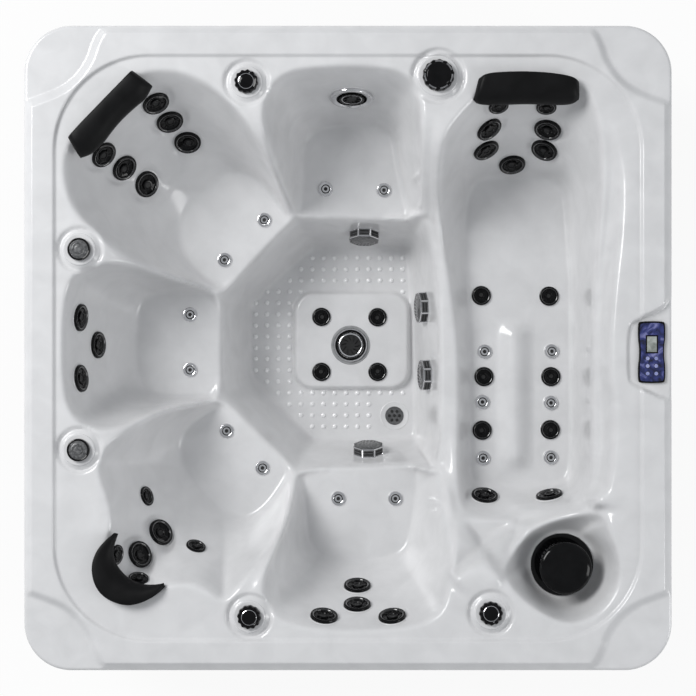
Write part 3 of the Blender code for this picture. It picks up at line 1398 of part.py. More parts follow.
def make_corner(name, sign_x, sign_y, finish):
    """Rounded cover between two side panels."""
    radius = CORNER_RADIUS - SHELL_WALL - PANEL_INSET
    centre_x, centre_y = HALF_WIDTH - CORNER_RADIUS, HALF_LENGTH - CORNER_RADIUS
    turns = [math.pi / 2 * k / CORNER_PARTS for k in range(CORNER_PARTS + 1)]
    outline = [(centre_x + radius * math.cos(t), centre_y + radius * math.sin(t)) for t in turns]
    inner = radius - SIDING_THICK
    outline += [(centre_x + inner * math.cos(t), centre_y + inner * math.sin(t)) for t in reversed(turns)]
    outline = [(sign_x * x, sign_y * y) for x, y in outline]
    return add_object(name, prism(name, outline, PAN_THICK + FIT, SKIRT_BOTTOM + SIDING_TUCK), finish)


# Equipment

def pump_place():
    """The pump's axis runs along Y, with the motor behind and the volute's port in front."""
    return Matrix.Translation((PUMP_X, PUMP_Y, PUMP_AXIS)) @ Matrix.Rotation(math.pi / 2, 4, "X")


def make_motor(finish):
    """Motor with its foot on the base pan and its shaft reaching into the volute."""
    shaft_end = VOLUTE_WALL + FIT + IMPELLER_GAP + IMPELLER_THICK
    profile = (
        (0, shaft_end), (SHAFT_RADIUS, shaft_end), (SHAFT_RADIUS, 0), (MOTOR_RADIUS, 0),
        (MOTOR_RADIUS, -MOTOR_LENGTH), (0, -MOTOR_LENGTH),
    )
    thing = add_object("pump_motor", turned("pump_motor", profile, ROUND_SIDES, pump_place()), finish)
    half = MOTOR_FOOT / 2
    foot = box("foot", (PUMP_X - half, PUMP_Y + MOTOR_FOOT_INSET, PAN_THICK + FIT),
               (PUMP_X + half, PUMP_Y + MOTOR_LENGTH - MOTOR_FOOT_INSET, PUMP_AXIS - MOTOR_RADIUS / 2))
    return combine(thing, foot, "UNION")


def make_volute(finish):
    """Pump chamber, open at its suction port, with the discharge stub on top."""
    back, front = FIT, VOLUTE_LENGTH
    port_end = front + PORT_REACH
    outer, cavity = VOLUTE_RADIUS, VOLUTE_RADIUS - VOLUTE_WALL
    port = SUCTION_PORT_RADIUS
    profile = (
        (SHAFT_RADIUS + FIT, back), (SHAFT_RADIUS + FIT, back + VOLUTE_WALL), (cavity, back + VOLUTE_WALL),
        (cavity, front - VOLUTE_WALL), (port, front - VOLUTE_WALL), (port, port_end),
        (port + PORT_WALL, port_end), (port + PORT_WALL, front), (outer, front), (outer, back),
    )
    thing = add_object("pump_volute", turned("pump_volute", profile, ROUND_SIDES, pump_place()), finish)
    base = Vector((PUMP_X, PUMP_Y - VOLUTE_LENGTH / 2, PUMP_AXIS + VOLUTE_RADIUS - VOLUTE_WALL / 2))
    end = base + Vector((0, 0, DISCHARGE_REACH))
    combine(thing, tube("stub", base, end, DISCHARGE_RADIUS, ROUND_SIDES), "UNION")
    half = DISCHARGE_RADIUS
    foot_top = PUMP_AXIS - VOLUTE_RADIUS + VOLUTE_WALL / 2
    foot = box("foot", (PUMP_X - half, base.y - half, PAN_THICK + FIT),
               (PUMP_X + half, base.y + half, foot_top))
    return combine(thing, foot, "UNION")


def make_impeller(finish):
    """Vaned wheel pressed near the end of the motor's shaft; its origin is on the shaft's axis."""
    outline = fluted(IMPELLER_RADIUS, PLEAT_DEPTH, BUTTON_SIDES // 2)
    low = VOLUTE_WALL + FIT + IMPELLER_GAP
    thing = add_object("impeller", prism("impeller", outline, low, low + IMPELLER_THICK), finish)
    bore = tube("bore", Vector((0, 0, 0)), Vector((0, 0, VOLUTE_LENGTH)), SHAFT_RADIUS + FIT, ROUND_SIDES)
    combine(thing, bore, "DIFFERENCE").modifiers[-1].object.parent = thing
    thing.matrix_world = pump_place()
    return thing


def make_plumbing(finish):
    """Pipe from the volute's discharge down to the heater."""
    y = PUMP_Y - VOLUTE_LENGTH / 2
    start = PUMP_AXIS + VOLUTE_RADIUS - VOLUTE_WALL / 2 + DISCHARGE_REACH + FIT
    high = start + PLUMBING_RISE
    turn_y = HEATER_Y + PLUMBING_RISE
    route = [
        Vector((PUMP_X, y, start)), Vector((PUMP_X, y, high)), Vector((PUMP_X, turn_y, high)),
        Vector((PUMP_X, turn_y, heater_height())), Vector((PUMP_X, HEATER_Y + FIT, heater_height())),
    ]
    return add_object("plumbing", swept("plumbing", route, PLUMBING_RADIUS, PLUMBING_SIDES), finish)


def heater_height():
    return PAN_THICK + FIT + HEATER_RADIUS + HEATER_NECK


def make_heater(finish):
    """Steel tube with a union nut at each end, on its cradle."""
    neck, nut = HEATER_RADIUS - PORT_WALL, HEATER_RADIUS + PORT_WALL
    far = HEATER_LENGTH - HEATER_NECK
    profile = (
        (0, 0), (nut, 0), (nut, HEATER_NECK), (neck, HEATER_NECK), (neck, far), (nut, far),
        (nut, HEATER_LENGTH), (0, HEATER_LENGTH),
    )
    place = Matrix.Translation((PUMP_X, HEATER_Y, heater_height())) @ Matrix.Rotation(math.pi / 2, 4, "X")
    thing = add_object("heater", turned("heater", profile, ROUND_SIDES, place), finish)
    middle = HEATER_Y - HEATER_LENGTH / 2
    cradle = box("cradle", (PUMP_X - HEATER_RADIUS, middle - HEATER_NECK, PAN_THICK + FIT),
                 (PUMP_X + HEATER_RADIUS, middle + HEATER_NECK, heater_height()))
    return combine(thing, cradle, "UNION")


def make_control_box(finish):
    low = (BOX_X - BOX_WIDTH / 2, BOX_Y - BOX_LENGTH, PAN_THICK + FIT)
    high = (BOX_X + BOX_WIDTH / 2, BOX_Y, PAN_THICK + FIT + BOX_HEIGHT)
    return add_object("control_box", box("control_box", low, high), finish)


def make_footwell_fittings(black, chrome):
    for name in SUCTION_SHARES:
        make_suction(name, chrome)
    make_drain(black)
    blaster = socket_mesh("blaster", BLASTER_SOCKET_RADIUS, BLASTER_SHARES)
    add_object("foot_blaster", blaster, black)
    make_nozzle("foot_blaster_nozzle", "blaster", BLASTER_NOZZLE_RADIUS, BLASTER_SHARES, chrome)
    make_nozzle("wide_jet_nozzle", "wide", WIDE_NOZZLE_RADIUS, WIDE_JET_SHARES, black)


def make_valves(black, grey):
    for number, shares in enumerate(AIR_VALVE_SHARES, 1):
        make_valve(f"air_valve_{number}", "air", shares, grey)
        make_knob(f"air_knob_{number}", "air", KNOB_RADIUS, KNOB_HEIGHT, KNOB_FLUTES, shares, black)
    make_valve("diverter_valve", "diverter", DIVERTER_SHARES, grey)
    make_knob("diverter_knob", "diverter", DIVERTER_KNOB_RADIUS, DIVERTER_KNOB_HEIGHT, DIVERTER_FLUTES,
              DIVERTER_SHARES, black)


def make_cabinet(siding, pan, timber):
    make_base_pan(pan)
    make_frame(timber)
    half_x, half_y = cabinet_half(0)
    along_x, along_y = HALF_WIDTH - CORNER_RADIUS, HALF_LENGTH - CORNER_RADIUS
    make_siding("right_panel", 0, half_x, along_y, siding)
    make_siding("back_panel", 1, half_y, along_x, siding)
    make_siding("left_panel", 2, half_x, along_y, siding)
    make_siding("front_panel", 3, half_y, along_x, siding)
    for word_y, sign_y in (("front", -1), ("back", 1)):
        for word_x, sign_x in (("left", -1), ("right", 1)):
            make_corner(f"{word_y}_{word_x}_corner", sign_x, sign_y, siding)


def main():
    remove_everything()
    acrylic = material("acrylic", (0.80, 0.80, 0.81), 0.15)
    black = material("black_plastic", (0.015, 0.015, 0.017), 0.3)
    grey = material("grey_plastic", (0.45, 0.46, 0.48), 0.35)
    chrome = material("chrome", (0.80, 0.80, 0.82), 0.12, 1.0)
    leather = material("pillow_leather", (0.018, 0.018, 0.020), 0.45)
    siding = material("siding", (0.16, 0.16, 0.17), 0.6)
    pan = material("base_plastic", (0.03, 0.03, 0.03), 0.6)
    steel = material("motor_steel", (0.40, 0.41, 0.43), 0.4, 1.0)
    timber = material("timber", (0.52, 0.38, 0.22), 0.7)
    blue = material("panel_blue", (0.03, 0.05, 0.20), 0.25)
    window = material("display", (0.35, 0.38, 0.40), 0.1)
    filter_cloth = material("filter_cloth", (0.82, 0.83, 0.80), 0.9)
    make_shell(acrylic)
    make_cabinet(siding, pan, timber)
    for name in JETS:
        make_jets(name, black)
    make_footwell_fittings(black, chrome)
    make_valves(black, grey)
    make_canister(grey)
    make_cartridge(filter_cloth)
    make_weir(black)
    make_lid(black)
    make_control_panel(blue)
    make_window(window)
    for number, shift in enumerate(button_places(), 1):
        make_button(number, shift, grey)
    for name in PILLOWS:
        make_pillow(name, leather)
    make_motor(steel)
    make_volute(black)
    make_impeller(grey)
    make_plumbing(grey)
    make_heater(chrome)
    make_control_box(grey)


main()
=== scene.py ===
"""Looks of the hot tub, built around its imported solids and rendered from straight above."""

import json
import math

import bmesh
import bpy
import numpy as np
from mathutils import Matrix, Vector


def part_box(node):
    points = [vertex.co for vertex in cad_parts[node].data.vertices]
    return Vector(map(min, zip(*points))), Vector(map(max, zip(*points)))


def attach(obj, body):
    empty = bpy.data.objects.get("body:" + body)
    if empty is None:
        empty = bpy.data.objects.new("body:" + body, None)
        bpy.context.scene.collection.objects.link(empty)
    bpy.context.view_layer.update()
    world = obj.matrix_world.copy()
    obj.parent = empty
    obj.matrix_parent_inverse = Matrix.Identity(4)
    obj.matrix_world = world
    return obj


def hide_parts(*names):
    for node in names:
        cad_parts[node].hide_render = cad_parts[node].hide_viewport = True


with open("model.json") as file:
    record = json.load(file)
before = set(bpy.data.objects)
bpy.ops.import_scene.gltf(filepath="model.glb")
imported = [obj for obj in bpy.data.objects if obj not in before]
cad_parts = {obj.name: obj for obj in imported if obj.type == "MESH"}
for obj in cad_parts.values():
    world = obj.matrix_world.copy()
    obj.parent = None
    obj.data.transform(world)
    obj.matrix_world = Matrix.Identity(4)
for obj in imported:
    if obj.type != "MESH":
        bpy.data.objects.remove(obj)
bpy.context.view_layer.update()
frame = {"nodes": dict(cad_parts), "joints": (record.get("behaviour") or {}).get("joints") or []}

# Sizes of the shell, in metres, as the solids have them
HALF_WIDTH = 1.100
HALF_LENGTH = 1.095
HEIGHT = 0.900
CORNER_RADIUS = 0.160
SHELL_WALL = 0.008
SEAT_HEIGHT = HEIGHT * 0.478
LOUNGE_HEIGHT = HEIGHT * 0.500
FLOOR_HEIGHT = HEIGHT * 0.1333
WELL_HEIGHT = HEIGHT - 0.200
BAND_RISE = 0.012
BAND_EDGE = 0.012
RIM_WIDTH = 0.111
LEDGE_RADIUS = 0.315
PAD_DROP = 0.008
NOTCH_DROP = 0.012
PLATFORM_RISE = 0.030
PLATFORM_EDGE = 0.016
LOUNGE_RIDGE_RISE = 0.030
LOUNGE_RIDGE_WIDTH = 0.075
RASTER_STEP = 0.005
BLUR_RADIUS = 0.0075
BLUR_REACH = 3
SOFTENING = 2
NEAR_SHARE = 0.75
HOLLOW_SHARE = 0.55
STRAIGHT_SHARE = 0.10
PULL_POWER = 4
LEDGE_PARTS = 6
TINY = 1e-9
SEAT_FLAT = 1.10
SEAT_FADE = 1.75
SEAT_RADIUS = {"large": 0.044, "small": 0.033, "injector": 0.025, "wide": 0.074, "suction": 0.062}
DECK = HEIGHT - BAND_RISE
SLOPE_REACH = 0.020
# Half width, half length and corner radius of the footwell's platform
PLATFORM_BOX = (0.217, 0.182, 0.070)
LEDGE_BOX = (HALF_WIDTH - RIM_WIDTH, HALF_LENGTH - RIM_WIDTH, LEDGE_RADIUS)

# The rim's edges, softer than the solid's
LIP_WIDTH = 0.007
LIP_SLOPE = 0.023
LIP_ROUND = 0.012
PAD_EDGE = 0.036
NOTCH_EDGE = 0.014

# Places and outlines are in thousandths of the half width and half length. A third number is a
# height in hundredths, from the seat (0) to the deck (100), which is the height without one.
PLAN_SCALE = 1000
LEVEL_SCALE = 100
# Pockets: the floor's height, how hollow the wall is, the rim, and the floor unless it is round
POCKETS = {
    "back_left": (SEAT_HEIGHT, HOLLOW_SHARE, (
        (-417, 178, 0), (-482, 208, 22), (-539, 227, 42), (-595, 249, 62), (-649, 271, 80),
        (-705, 296, 93), (-747, 323), (-787, 369), (-830, 409), (-861, 462), (-876, 533), (-873, 604),
        (-835, 664), (-749, 735), (-684, 812), (-639, 850), (-578, 860), (-510, 854), (-446, 826),
        (-387, 783), (-332, 727), (-290, 659, 95), (-256, 589, 78), (-229, 535, 55), (-204, 486, 30),
        (-190, 460, 12), (-179, 434, 0),
    ), (
        (-437, 211), (-495, 250), (-540, 305), (-563, 370), (-555, 435), (-520, 492), (-468, 545),
        (-415, 582), (-362, 590), (-310, 567), (-268, 533), (-228, 480), (-205, 440), (-126, 357),
        (-357, 158),
    )),
    "back": (SEAT_HEIGHT, STRAIGHT_SHARE, (
        (-169, 434, 0), (-184, 470, 12), (-194, 496, 30), (-213, 545, 55), (-234, 598, 78),
        (-253, 659, 95), (-261, 718), (-252, 780), (-221, 832), (-163, 860), (-86, 869), (6, 872),
        (98, 869), (166, 854), (209, 820), (224, 770), (227, 702), (229, 630, 90), (236, 561, 70),
        (242, 505, 50), (248, 462, 35), (257, 426, 25),
    ), (
        (-159, 374), (-159, 523), (-155, 656), (-139, 706), (-93, 733), (7, 746), (106, 736), (152, 709),
        (165, 623), (185, 523), (202, 440), (205, 374),
    )),
    "left": (SEAT_HEIGHT, HOLLOW_SHARE, (
        (-423, 168, 0), (-488, 195, 22), (-546, 214, 42), (-601, 234, 62), (-655, 249, 80),
        (-711, 259, 93), (-768, 258), (-824, 239), (-858, 202), (-873, 131), (-879, 8), (-873, -131),
        (-858, -193), (-824, -236), (-768, -255), (-711, -247, 93), (-655, -218, 80), (-601, -195, 62),
        (-546, -182, 42), (-488, -175, 22), (-423, -161, 0),
    ), (
        (-364, 188), (-523, 188), (-622, 188), (-668, 174), (-695, 141), (-705, 8), (-695, -108),
        (-668, -145), (-622, -164), (-523, -164), (-364, -164),
    )),
    "front_left": (SEAT_HEIGHT, HOLLOW_SHARE, (
        (-417, -171, 0), (-482, -185, 22), (-539, -195, 42), (-595, -211, 62), (-649, -240, 80),
        (-703, -274, 95), (-744, -310), (-768, -354), (-762, -409), (-738, -465), (-725, -533),
        (-738, -594), (-756, -656), (-747, -718), (-707, -755), (-645, -767), (-590, -749), (-559, -733),
        (-516, -727), (-470, -730), (-424, -755), (-381, -786), (-344, -743), (-302, -696, 95),
        (-268, -653, 82), (-240, -605, 62), (-216, -542, 38), (-199, -483, 20), (-179, -397, 0),
    ), (
        (-357, -158), (-465, -210), (-522, -248), (-552, -295), (-560, -345), (-540, -400), (-495, -460),
        (-440, -515), (-392, -555), (-345, -568), (-298, -545), (-258, -507), (-222, -454), (-198, -407),
        (-142, -357),
    )),
    "front": (SEAT_HEIGHT, STRAIGHT_SHARE, (
        (-169, -400, 0), (-173, -467, 20), (-183, -525, 38), (-206, -586, 62), (-231, -640, 82),
        (-253, -690, 95), (-264, -749), (-252, -795), (-221, -832), (-172, -857), (-86, -872), (6, -875),
        (114, -872), (197, -863), (252, -845), (295, -811), (312, -752, 95), (317, -695, 85),
        (323, -632, 72), (320, -565, 60), (314, -491, 45), (304, -430, 32), (292, -393, 25),
    ), (
        (-162, -341), (-152, -474), (-146, -573), (-136, -640), (-106, -683), (-43, -706), (56, -713),
        (146, -700), (198, -666), (218, -590), (232, -490), (238, -341),
    )),
    "footwell": (FLOOR_HEIGHT, 0.0, (
        (-420, 145, 0), (-413, 178, 0), (-185, 427, 0), (-152, 434, 0), (230, 431, 10), (257, 417, 22),
        (270, 351, 25), (286, 253, 25), (296, 155, 25), (299, -106, 25), (299, -335, 25), (287, -384, 22),
        (253, -398, 10), (-152, -400, 0), (-182, -394, 0), (-413, -168, 0), (-420, -135, 0),
    ), (
        (-343, 134), (-333, 165), (-135, 346), (-107, 353), (194, 353), (218, 340), (225, 165),
        (236, -113), (243, -294), (222, -322), (-107, -322), (-135, -315), (-333, -106), (-343, -78),
    )),
    "lounge": (LOUNGE_HEIGHT, STRAIGHT_SHARE, (
        (381, 761), (341, 718), (307, 672), (293, 621, 95), (289, 539, 70), (296, 441, 40), (308, 337, 30),
        (328, 230, 27), (344, 119, 25), (357, -2, 25), (361, -171, 25), (357, -363, 28), (358, -462, 35),
        (367, -531, 50), (421, -543, 50), (501, -543, 50), (579, -529, 55), (670, -510, 62),
        (729, -491, 70), (757, -448, 76), (763, -322, 78), (763, -165, 78), (763, 24, 78), (766, 149, 78),
        (774, 274, 80), (783, 398, 85), (790, 521, 90), (787, 612, 95), (775, 702), (750, 780), (722, 814),
        (652, 826), (559, 829), (467, 826), (412, 807),
    ), (
        (430, 562), (396, 525), (386, 439), (386, 343), (392, 234), (399, 121), (402, -2), (402, -174),
        (399, -369), (402, -426), (429, -452), (567, -459), (706, -452), (735, -426), (745, -369),
        (745, -174), (745, -2), (745, 121), (742, 234), (732, 343), (725, 439), (716, 525), (680, 562),
        (554, 570),
    )),
    "well": (WELL_HEIGHT, STRAIGHT_SHARE, (
        (805, -523), (811, -585), (830, -631), (839, -687), (824, -755), (784, -811), (728, -845),
        (667, -851), (615, -829), (559, -792), (513, -755), (478, -711, 95), (499, -666, 80),
        (540, -613, 72), (594, -570, 70), (666, -538, 72), (755, -519, 80),
    ), None),
}
# Ridges and edges that no pocket follows
ARMREST_EDGE = (
    (775, -471), (818, -462), (842, -384), (854, -276), (851, -153), (839, -110), (832, -57), (833, 45),
    (842, 128), (854, 218), (873, 332), (882, 421), (885, 523), (873, 607), (845, 690), (805, 758),
    (775, 786),
)
STEP_EDGE = (
    (369, -548, 55), (349, -592, 70), (330, -648, 85), (315, -699, 95), (338, -718), (406, -718),
    (467, -712), (496, -682, 80), (516, -624, 70), (532, -581, 60), (521, -551, 55),
)
PAD_LINE = (
    (742, 1100), (742, 1000), (776, 950), (796, 880), (860, 803), (970, 760), (1000, 755), (1100, 755),
    (1100, 1100),
)
NOTCH_LINE = (
    (1100, 180), (999, 162), (966, 122), (887, 88), (862, 63), (862, -94), (874, -112), (929, -137),
    (975, -159), (1100, -180),
)
FILTER_SPOT = (679, -690)
PLATFORM_SPOT = (14, 26)
DRAIN_SPOT = (161, -236)
WIDE_JET_SPOT = (12, 807)
LOUNGE_RIDGE_ACROSS = 551
LOUNGE_RIDGE_ENDS = (110, -420)
WELL_FLOOR_RADIUS = 0.122
WELL_SIDES = 20

# Jets of each group in the order that their pipe runs
JETS = {
    "back_left_seat_jets": (
        ("large", -520, 671), ("large", -570, 728), ("large", -606, 776), ("large", -771, 613),
        ("large", -717, 580), ("large", -655, 535), ("injector", -409, 293), ("injector", -277, 426),
    ),
    "back_seat_jets": (
        ("wide", *WIDE_JET_SPOT), ("injector", -74, 529), ("injector", 119, 525),
    ),
    "left_seat_jets": (
        ("large", -842, 96), ("large", -804, 10), ("large", -841, -96), ("injector", -523, -73),
        ("injector", -523, 111),
    ),
    "front_left_seat_jets": (
        ("small", -721, -646), ("small", -646, -477), ("large", -602, -595), ("large", -659, -656),
        ("small", -654, -724), ("small", -488, -640), ("injector", -402, -276), ("injector", -283, -399),
    ),
    "front_seat_jets": (
        ("large", -75, -843), ("large", 29, -818), ("large", 138, -843), ("large", 30, -773),
        ("injector", -32, -501), ("injector", 157, -501),
    ),
    "lounger_back_jets": (
        ("small", 472, 762), ("large", 447, 699), ("large", 444, 642), ("large", 537, 605),
        ("large", 635, 644), ("large", 637, 701), ("small", 623, 760),
    ),
    "lounger_leg_jets": (
        ("large", 446, -486), ("injector", 446, -365), ("small", 443, -273), ("injector", 444, -179),
        ("small", 449, -95), ("injector", 451, -12), ("small", 440, 174), ("small", 664, 172),
        ("injector", 673, -11), ("small", 670, -95), ("injector", 670, -182), ("small", 668, -271),
        ("injector", 670, -363), ("large", 653, -481),
    ),
    "footwell_jets": (
        ("small", -92, 108), ("small", 102, 107), ("small", 102, -83), ("small", -92, -83),
    ),
}
SUCTION_COVERS = {
    "suction_cover_back": (55, 391), "suction_cover_right_back": (261, 137),
    "suction_cover_right_front": (271, -91), "suction_cover_front": (69, -357),
}
VALVE_PLATEAU = 0.0520
DIVERTER_PLATEAU = 0.0665
# Air valves by number, then the diverter, each with the radius of the plateau under it
VALVES = (
    (-313, 823, VALVE_PLATEAU), (-827, 305, VALVE_PLATEAU), (-829, -315, VALVE_PLATEAU),
    (-304, -831, VALVE_PLATEAU), (440, -821, VALVE_PLATEAU), (278, 842, DIVERTER_PLATEAU),
)
PANEL_FROM_EDGE = 0.0704
PANEL_ALONG = -13

# Fine parts of the shell's surface
SHELL_LINES = 400
WARP_POWER = 10
RIM_CROWD = 0.5
SKIRT_BOTTOM = HEIGHT - 0.100
SKIRT_ROWS = 4
WELD = 0.00002
# Degrees between faces from which their edge stays sharp
SHARP_ANGLE = 32
LID_ANGLE = 50
SHELL_ANGLE = 60
SOFT_ANGLE = 80
BLOCK_BEVEL = 0.12
DIMPLE_CORNERS = ((-321, 314), (190, -274))
DIMPLE_COLUMNS = 14
DIMPLE_ROWS = 16
DIMPLE_RADIUS = 0.0095
DIMPLE_CLEARANCE = 0.012
DRAIN_CLEARANCE = 0.072
DIMPLE_SIDES = 12
# Profiles give radius and height as shares of the piece's size. Then come the finish of the face
# that follows, as a place in the piece's looks, and the share of the scallop, where not 0.
DIMPLE_PROFILE = (
    (1.12, -0.2), (1, 0.04), (0.85, 0.26), (0.6, 0.45), (0.3, 0.55), (0, 0.58),
)
GROOVE_WIDTH = 0.030
GROOVE_DEPTH = 0.011
GROOVE_START = 0.002

# Jet faces
JET_RADIUS = {"large": 0.0475, "small": 0.0350, "injector": 0.0262}
JET_LOOKS = ("black_plastic", "chrome", "dark", "acrylic", "black_gloss")
JET_SIDES = 40
INJECTOR_SIDES = 30
JET_TURN = 47
JET_PROFILE = (
    (1.12, -0.3, 3), (1.12, 0, 3), (1.08, 0.035, 3), (1.01, 0.03), (1, 0.14), (0.97, 0.2), (0.91, 0.235),
    (0.85, 0.235, 4), (0.8, 0.218, 4), (0.76, 0.187, 4), (0.735, 0.145, 4), (0.72, 0.09, 2),
    (0.6, 0.08, 2), (0.3, 0.08, 2), (0, 0.08, 2),
)
NOZZLE_PROFILE = (
    (0.4, 0.08), (0.385, 0.175), (0.34, 0.205), (0.25, 0.202), (0.21, 0.15, 2), (0, 0.135, 2),
)
INJECTOR_PROFILE = (
    (1.16, -0.3, 3), (1.16, 0, 3), (1.09, 0.04, 3), (1.02, 0.03, 1), (1, 0.16, 1), (0.94, 0.235, 1),
    (0.84, 0.265, 1), (0.72, 0.255, 1), (0.64, 0.215, 2), (0.58, 0.19, 2), (0.52, 0.185, 1),
    (0.49, 0.235, 1), (0.4, 0.25, 1), (0.26, 0.22, 2), (0, 0.17, 2),
)
NOZZLE_SHIFT = 0.07
FIN_COUNT = 5
FIN_SHARES = (0.36, 0.45, 0.54, 0.63, 0.72)
FIN_TWIST = 50
FIN_WIDTH = 0.035
FIN_TAPER = 0.6
FIN_LEVELS = (0.075, 0.150)
RING_SIDES = 64
NOZZLE_RING_SIDES = 120
TOOTH_DEPTH = 0.10
WIDE_RING_RADIUS = 0.0755
WIDE_RING_PROFILE = (
    (1.08, -0.16, 2), (1.08, 0, 2), (1.05, 0.025, 2), (1.005, 0.02), (1, 0.1), (0.97, 0.145),
    (0.91, 0.165), (0.83, 0.155), (0.77, 0.128), (0.72, 0.12, 1), (0.7, 0.05, 1),
)
WIDE_NOZZLE_RADIUS = 0.0475
WIDE_TEETH = 20
WIDE_FIN_LEVELS = (0.22, 0.29)
WIDE_NOZZLE_PROFILE = (
    (1, 0.11, 0, 1), (1, 0.27, 0, 1), (0.95, 0.31, 0, 1), (0.8, 0.325), (0.76, 0.29, 1), (0.73, 0.3, 1),
    (0.7, 0.29), (0.66, 0.235, 2), (0, 0.225, 2),
)
BLASTER_RADIUS = 0.0755
BLASTER_RING_PROFILE = (
    (1, -0.06, 3), (1, 0.02, 3), (0.96, 0.075, 3), (0.88, 0.08, 3), (0.84, 0.07), (0.83, 0.17, 1),
    (0.805, 0.195, 1), (0.775, 0.19), (0.755, 0.165), (0.7, 0.165), (0.665, 0.15), (0.655, 0.05),
)
BLASTER_NOZZLE_RADIUS = 0.0485
BLASTER_TEETH = 24
BLASTER_FIN_LEVELS = (0.24, 0.32)
BLASTER_NOZZLE_PROFILE = (
    (1, 0.12, 0, 0.4), (1, 0.29, 0, 0.4), (0.96, 0.33, 0, 0.3), (0.93, 0.335, 1), (0.9, 0.352, 1),
    (0.86, 0.352, 1), (0.83, 0.335), (0.79, 0.26, 2), (0, 0.245, 2),
)

# Covers
# Holes are dark discs set just proud of a face: painted shade in place of open holes.
HOLE_SIDES = 8
HOLE_PROFILE = ((1, -0.3, 1), (1, 0.08, 1), (0.85, 0.12, 1), (0, 0.06, 1))
SUCTION_RADIUS = 0.0615
SUCTION_SIDES = 8
SUCTION_PROFILE = (
    (1, -0.1, 2), (1, 0.035, 2), (0.985, 0.05, 2), (0.955, 0.055), (0.955, 0.455, 2), (0.925, 0.505),
    (0.88, 0.52), (0, 0.525),
)
SUCTION_FACE = 0.0320
SUCTION_HOLE = 0.0030
SUCTION_RINGS = ((0.28, 8), (0.52, 15), (0.76, 22))
SUCTION_RING_START = 0.5
# Slots are thin dark bars on the drum's sides: painted shade in place of openings.
SLOT_LEVELS = (0.0080, 0.0175)
SLOT_TALL = 0.0055
SLOT_REACH_SHARE = 0.880
SLOT_DEEP = 0.0012
SLOT_HALF = 0.0165
POST_REACH_SHARE = 0.965
POST_DEEP = 0.0045
POST_HALF = 0.0026
POST_LOW = 0.0030
POST_HIGH = 0.0285
DRAIN_RADIUS = 0.0345
DRAIN_PROFILE = (
    (1.62, -0.08, 2), (1.6, 0.03, 2), (1.5, 0.06, 2), (1.4, 0.03, 2), (1.02, 0.02), (1, 0.1),
    (0.94, 0.155), (0.8, 0.165), (0, 0.165),
)
DRAIN_FACE = 0.0057
DRAIN_HOLE = 0.0062
DRAIN_HOLES = 6
DRAIN_RING_SHARE = 0.56

# Valve caps
KNOB_SIDES = 96
KNOB_RADIUS = 0.0410
KNOB_FLUTES = 12
FLUTE_SHARE = 0.10
KNOB_TOP = 0.0300
PALE_KNOB_LIMIT = -500
KNOB_PROFILE = (
    (1, 0.14, 0, 0.6), (1, 0.48, 0, 1), (0.96, 0.6, 0, 1), (0.87, 0.66, 0, 0.6), (0.78, 0.65), (0.7, 0.61),
    (0.655, 0.6, 1), (0.635, 0.64, 1), (0.6, 0.655), (0.5, 0.7), (0.25, 0.735), (0, 0.74),
)
# The pale cap's outer ring is black: painted shade for the shadowed gap round the knob.
PALE_KNOB_PROFILE = (
    (0.94, 0.14, 2), (0.94, 0.52, 2), (0.91, 0.6, 2), (0.86, 0.62, 2), (0.79, 0.6, 2), (0.77, 0.55),
    (0.7, 0.56), (0.64, 0.62), (0.52, 0.66), (0.46, 0.62), (0.42, 0.6), (0.34, 0.68), (0.2, 0.71),
    (0, 0.715),
)
POINTER_WIDTH = 0.003
POINTER_FROM = 0.66
POINTER_TO = 0.74
POINTER_RISE = 0.0006
DIVERTER_RADIUS = 0.0540
DIVERTER_FLUTES = 14
DIVERTER_SEGMENTS = 7
DIVERTER_PROFILE = (
    (1, 0.11, 0, 0.3), (1, 0.42, 0, 0.5), (0.97, 0.5, 0, 0.5), (0.93, 0.53), (0.77, 0.56), (0.74, 0.6),
    (0.7, 0.62), (0.4, 0.63), (0, 0.63),
)
# Steps out from the plateau's radius, and heights, in metres
PLATEAU_PROFILE = (
    (0.004, -0.01), (0.0035, -0.002), (0.002, 0.0035), (-0.001, 0.0058), (-0.02, 0.0058),
)
# Bright strips on the diverter's shoulder: painted highlights of light on its finger dents
SEGMENT_PARTS = 5
SEGMENT_START = 0.3
SEGMENT_SPREAD = 34
SEGMENT_SHARES = (0.80, 0.90)
SEGMENT_LOW = 0.0270
SEGMENT_HIGH = 0.0305
SEGMENT_SIDE = 0.0010

# Filter
CAGE_RADIUS = 0.1090
CAGE_RIBS = 36
RIB_WIDTH = 0.0045
RIB_FROM = 0.715
RIB_TO = 0.775
RIB_LOW = 0.06
RIB_HIGH = 0.93
CAGE_FOOT = ((0.7, 0.02), (0.99, 0.02), (1, 0.05), (0.98, 0.09), (0.8, 0.1), (0.72, 0.09), (0.7, 0.02))
CAGE_TOP = (
    (0.7, 0.89), (0.77, 0.89), (0.785, 0.92), (0.785, 0.97), (0.765, 1), (0.71, 1), (0.7, 0.89),
)
LID_RADIUS = 0.0895
LID_PROFILE = (
    (0, 0), (0.83, 0), (0.84, 0.3), (0.97, 0.33), (1, 0.42), (1, 0.56), (0.97, 0.7), (0.88, 0.84),
    (0.7, 0.93), (0.4, 0.985), (0, 1),
)

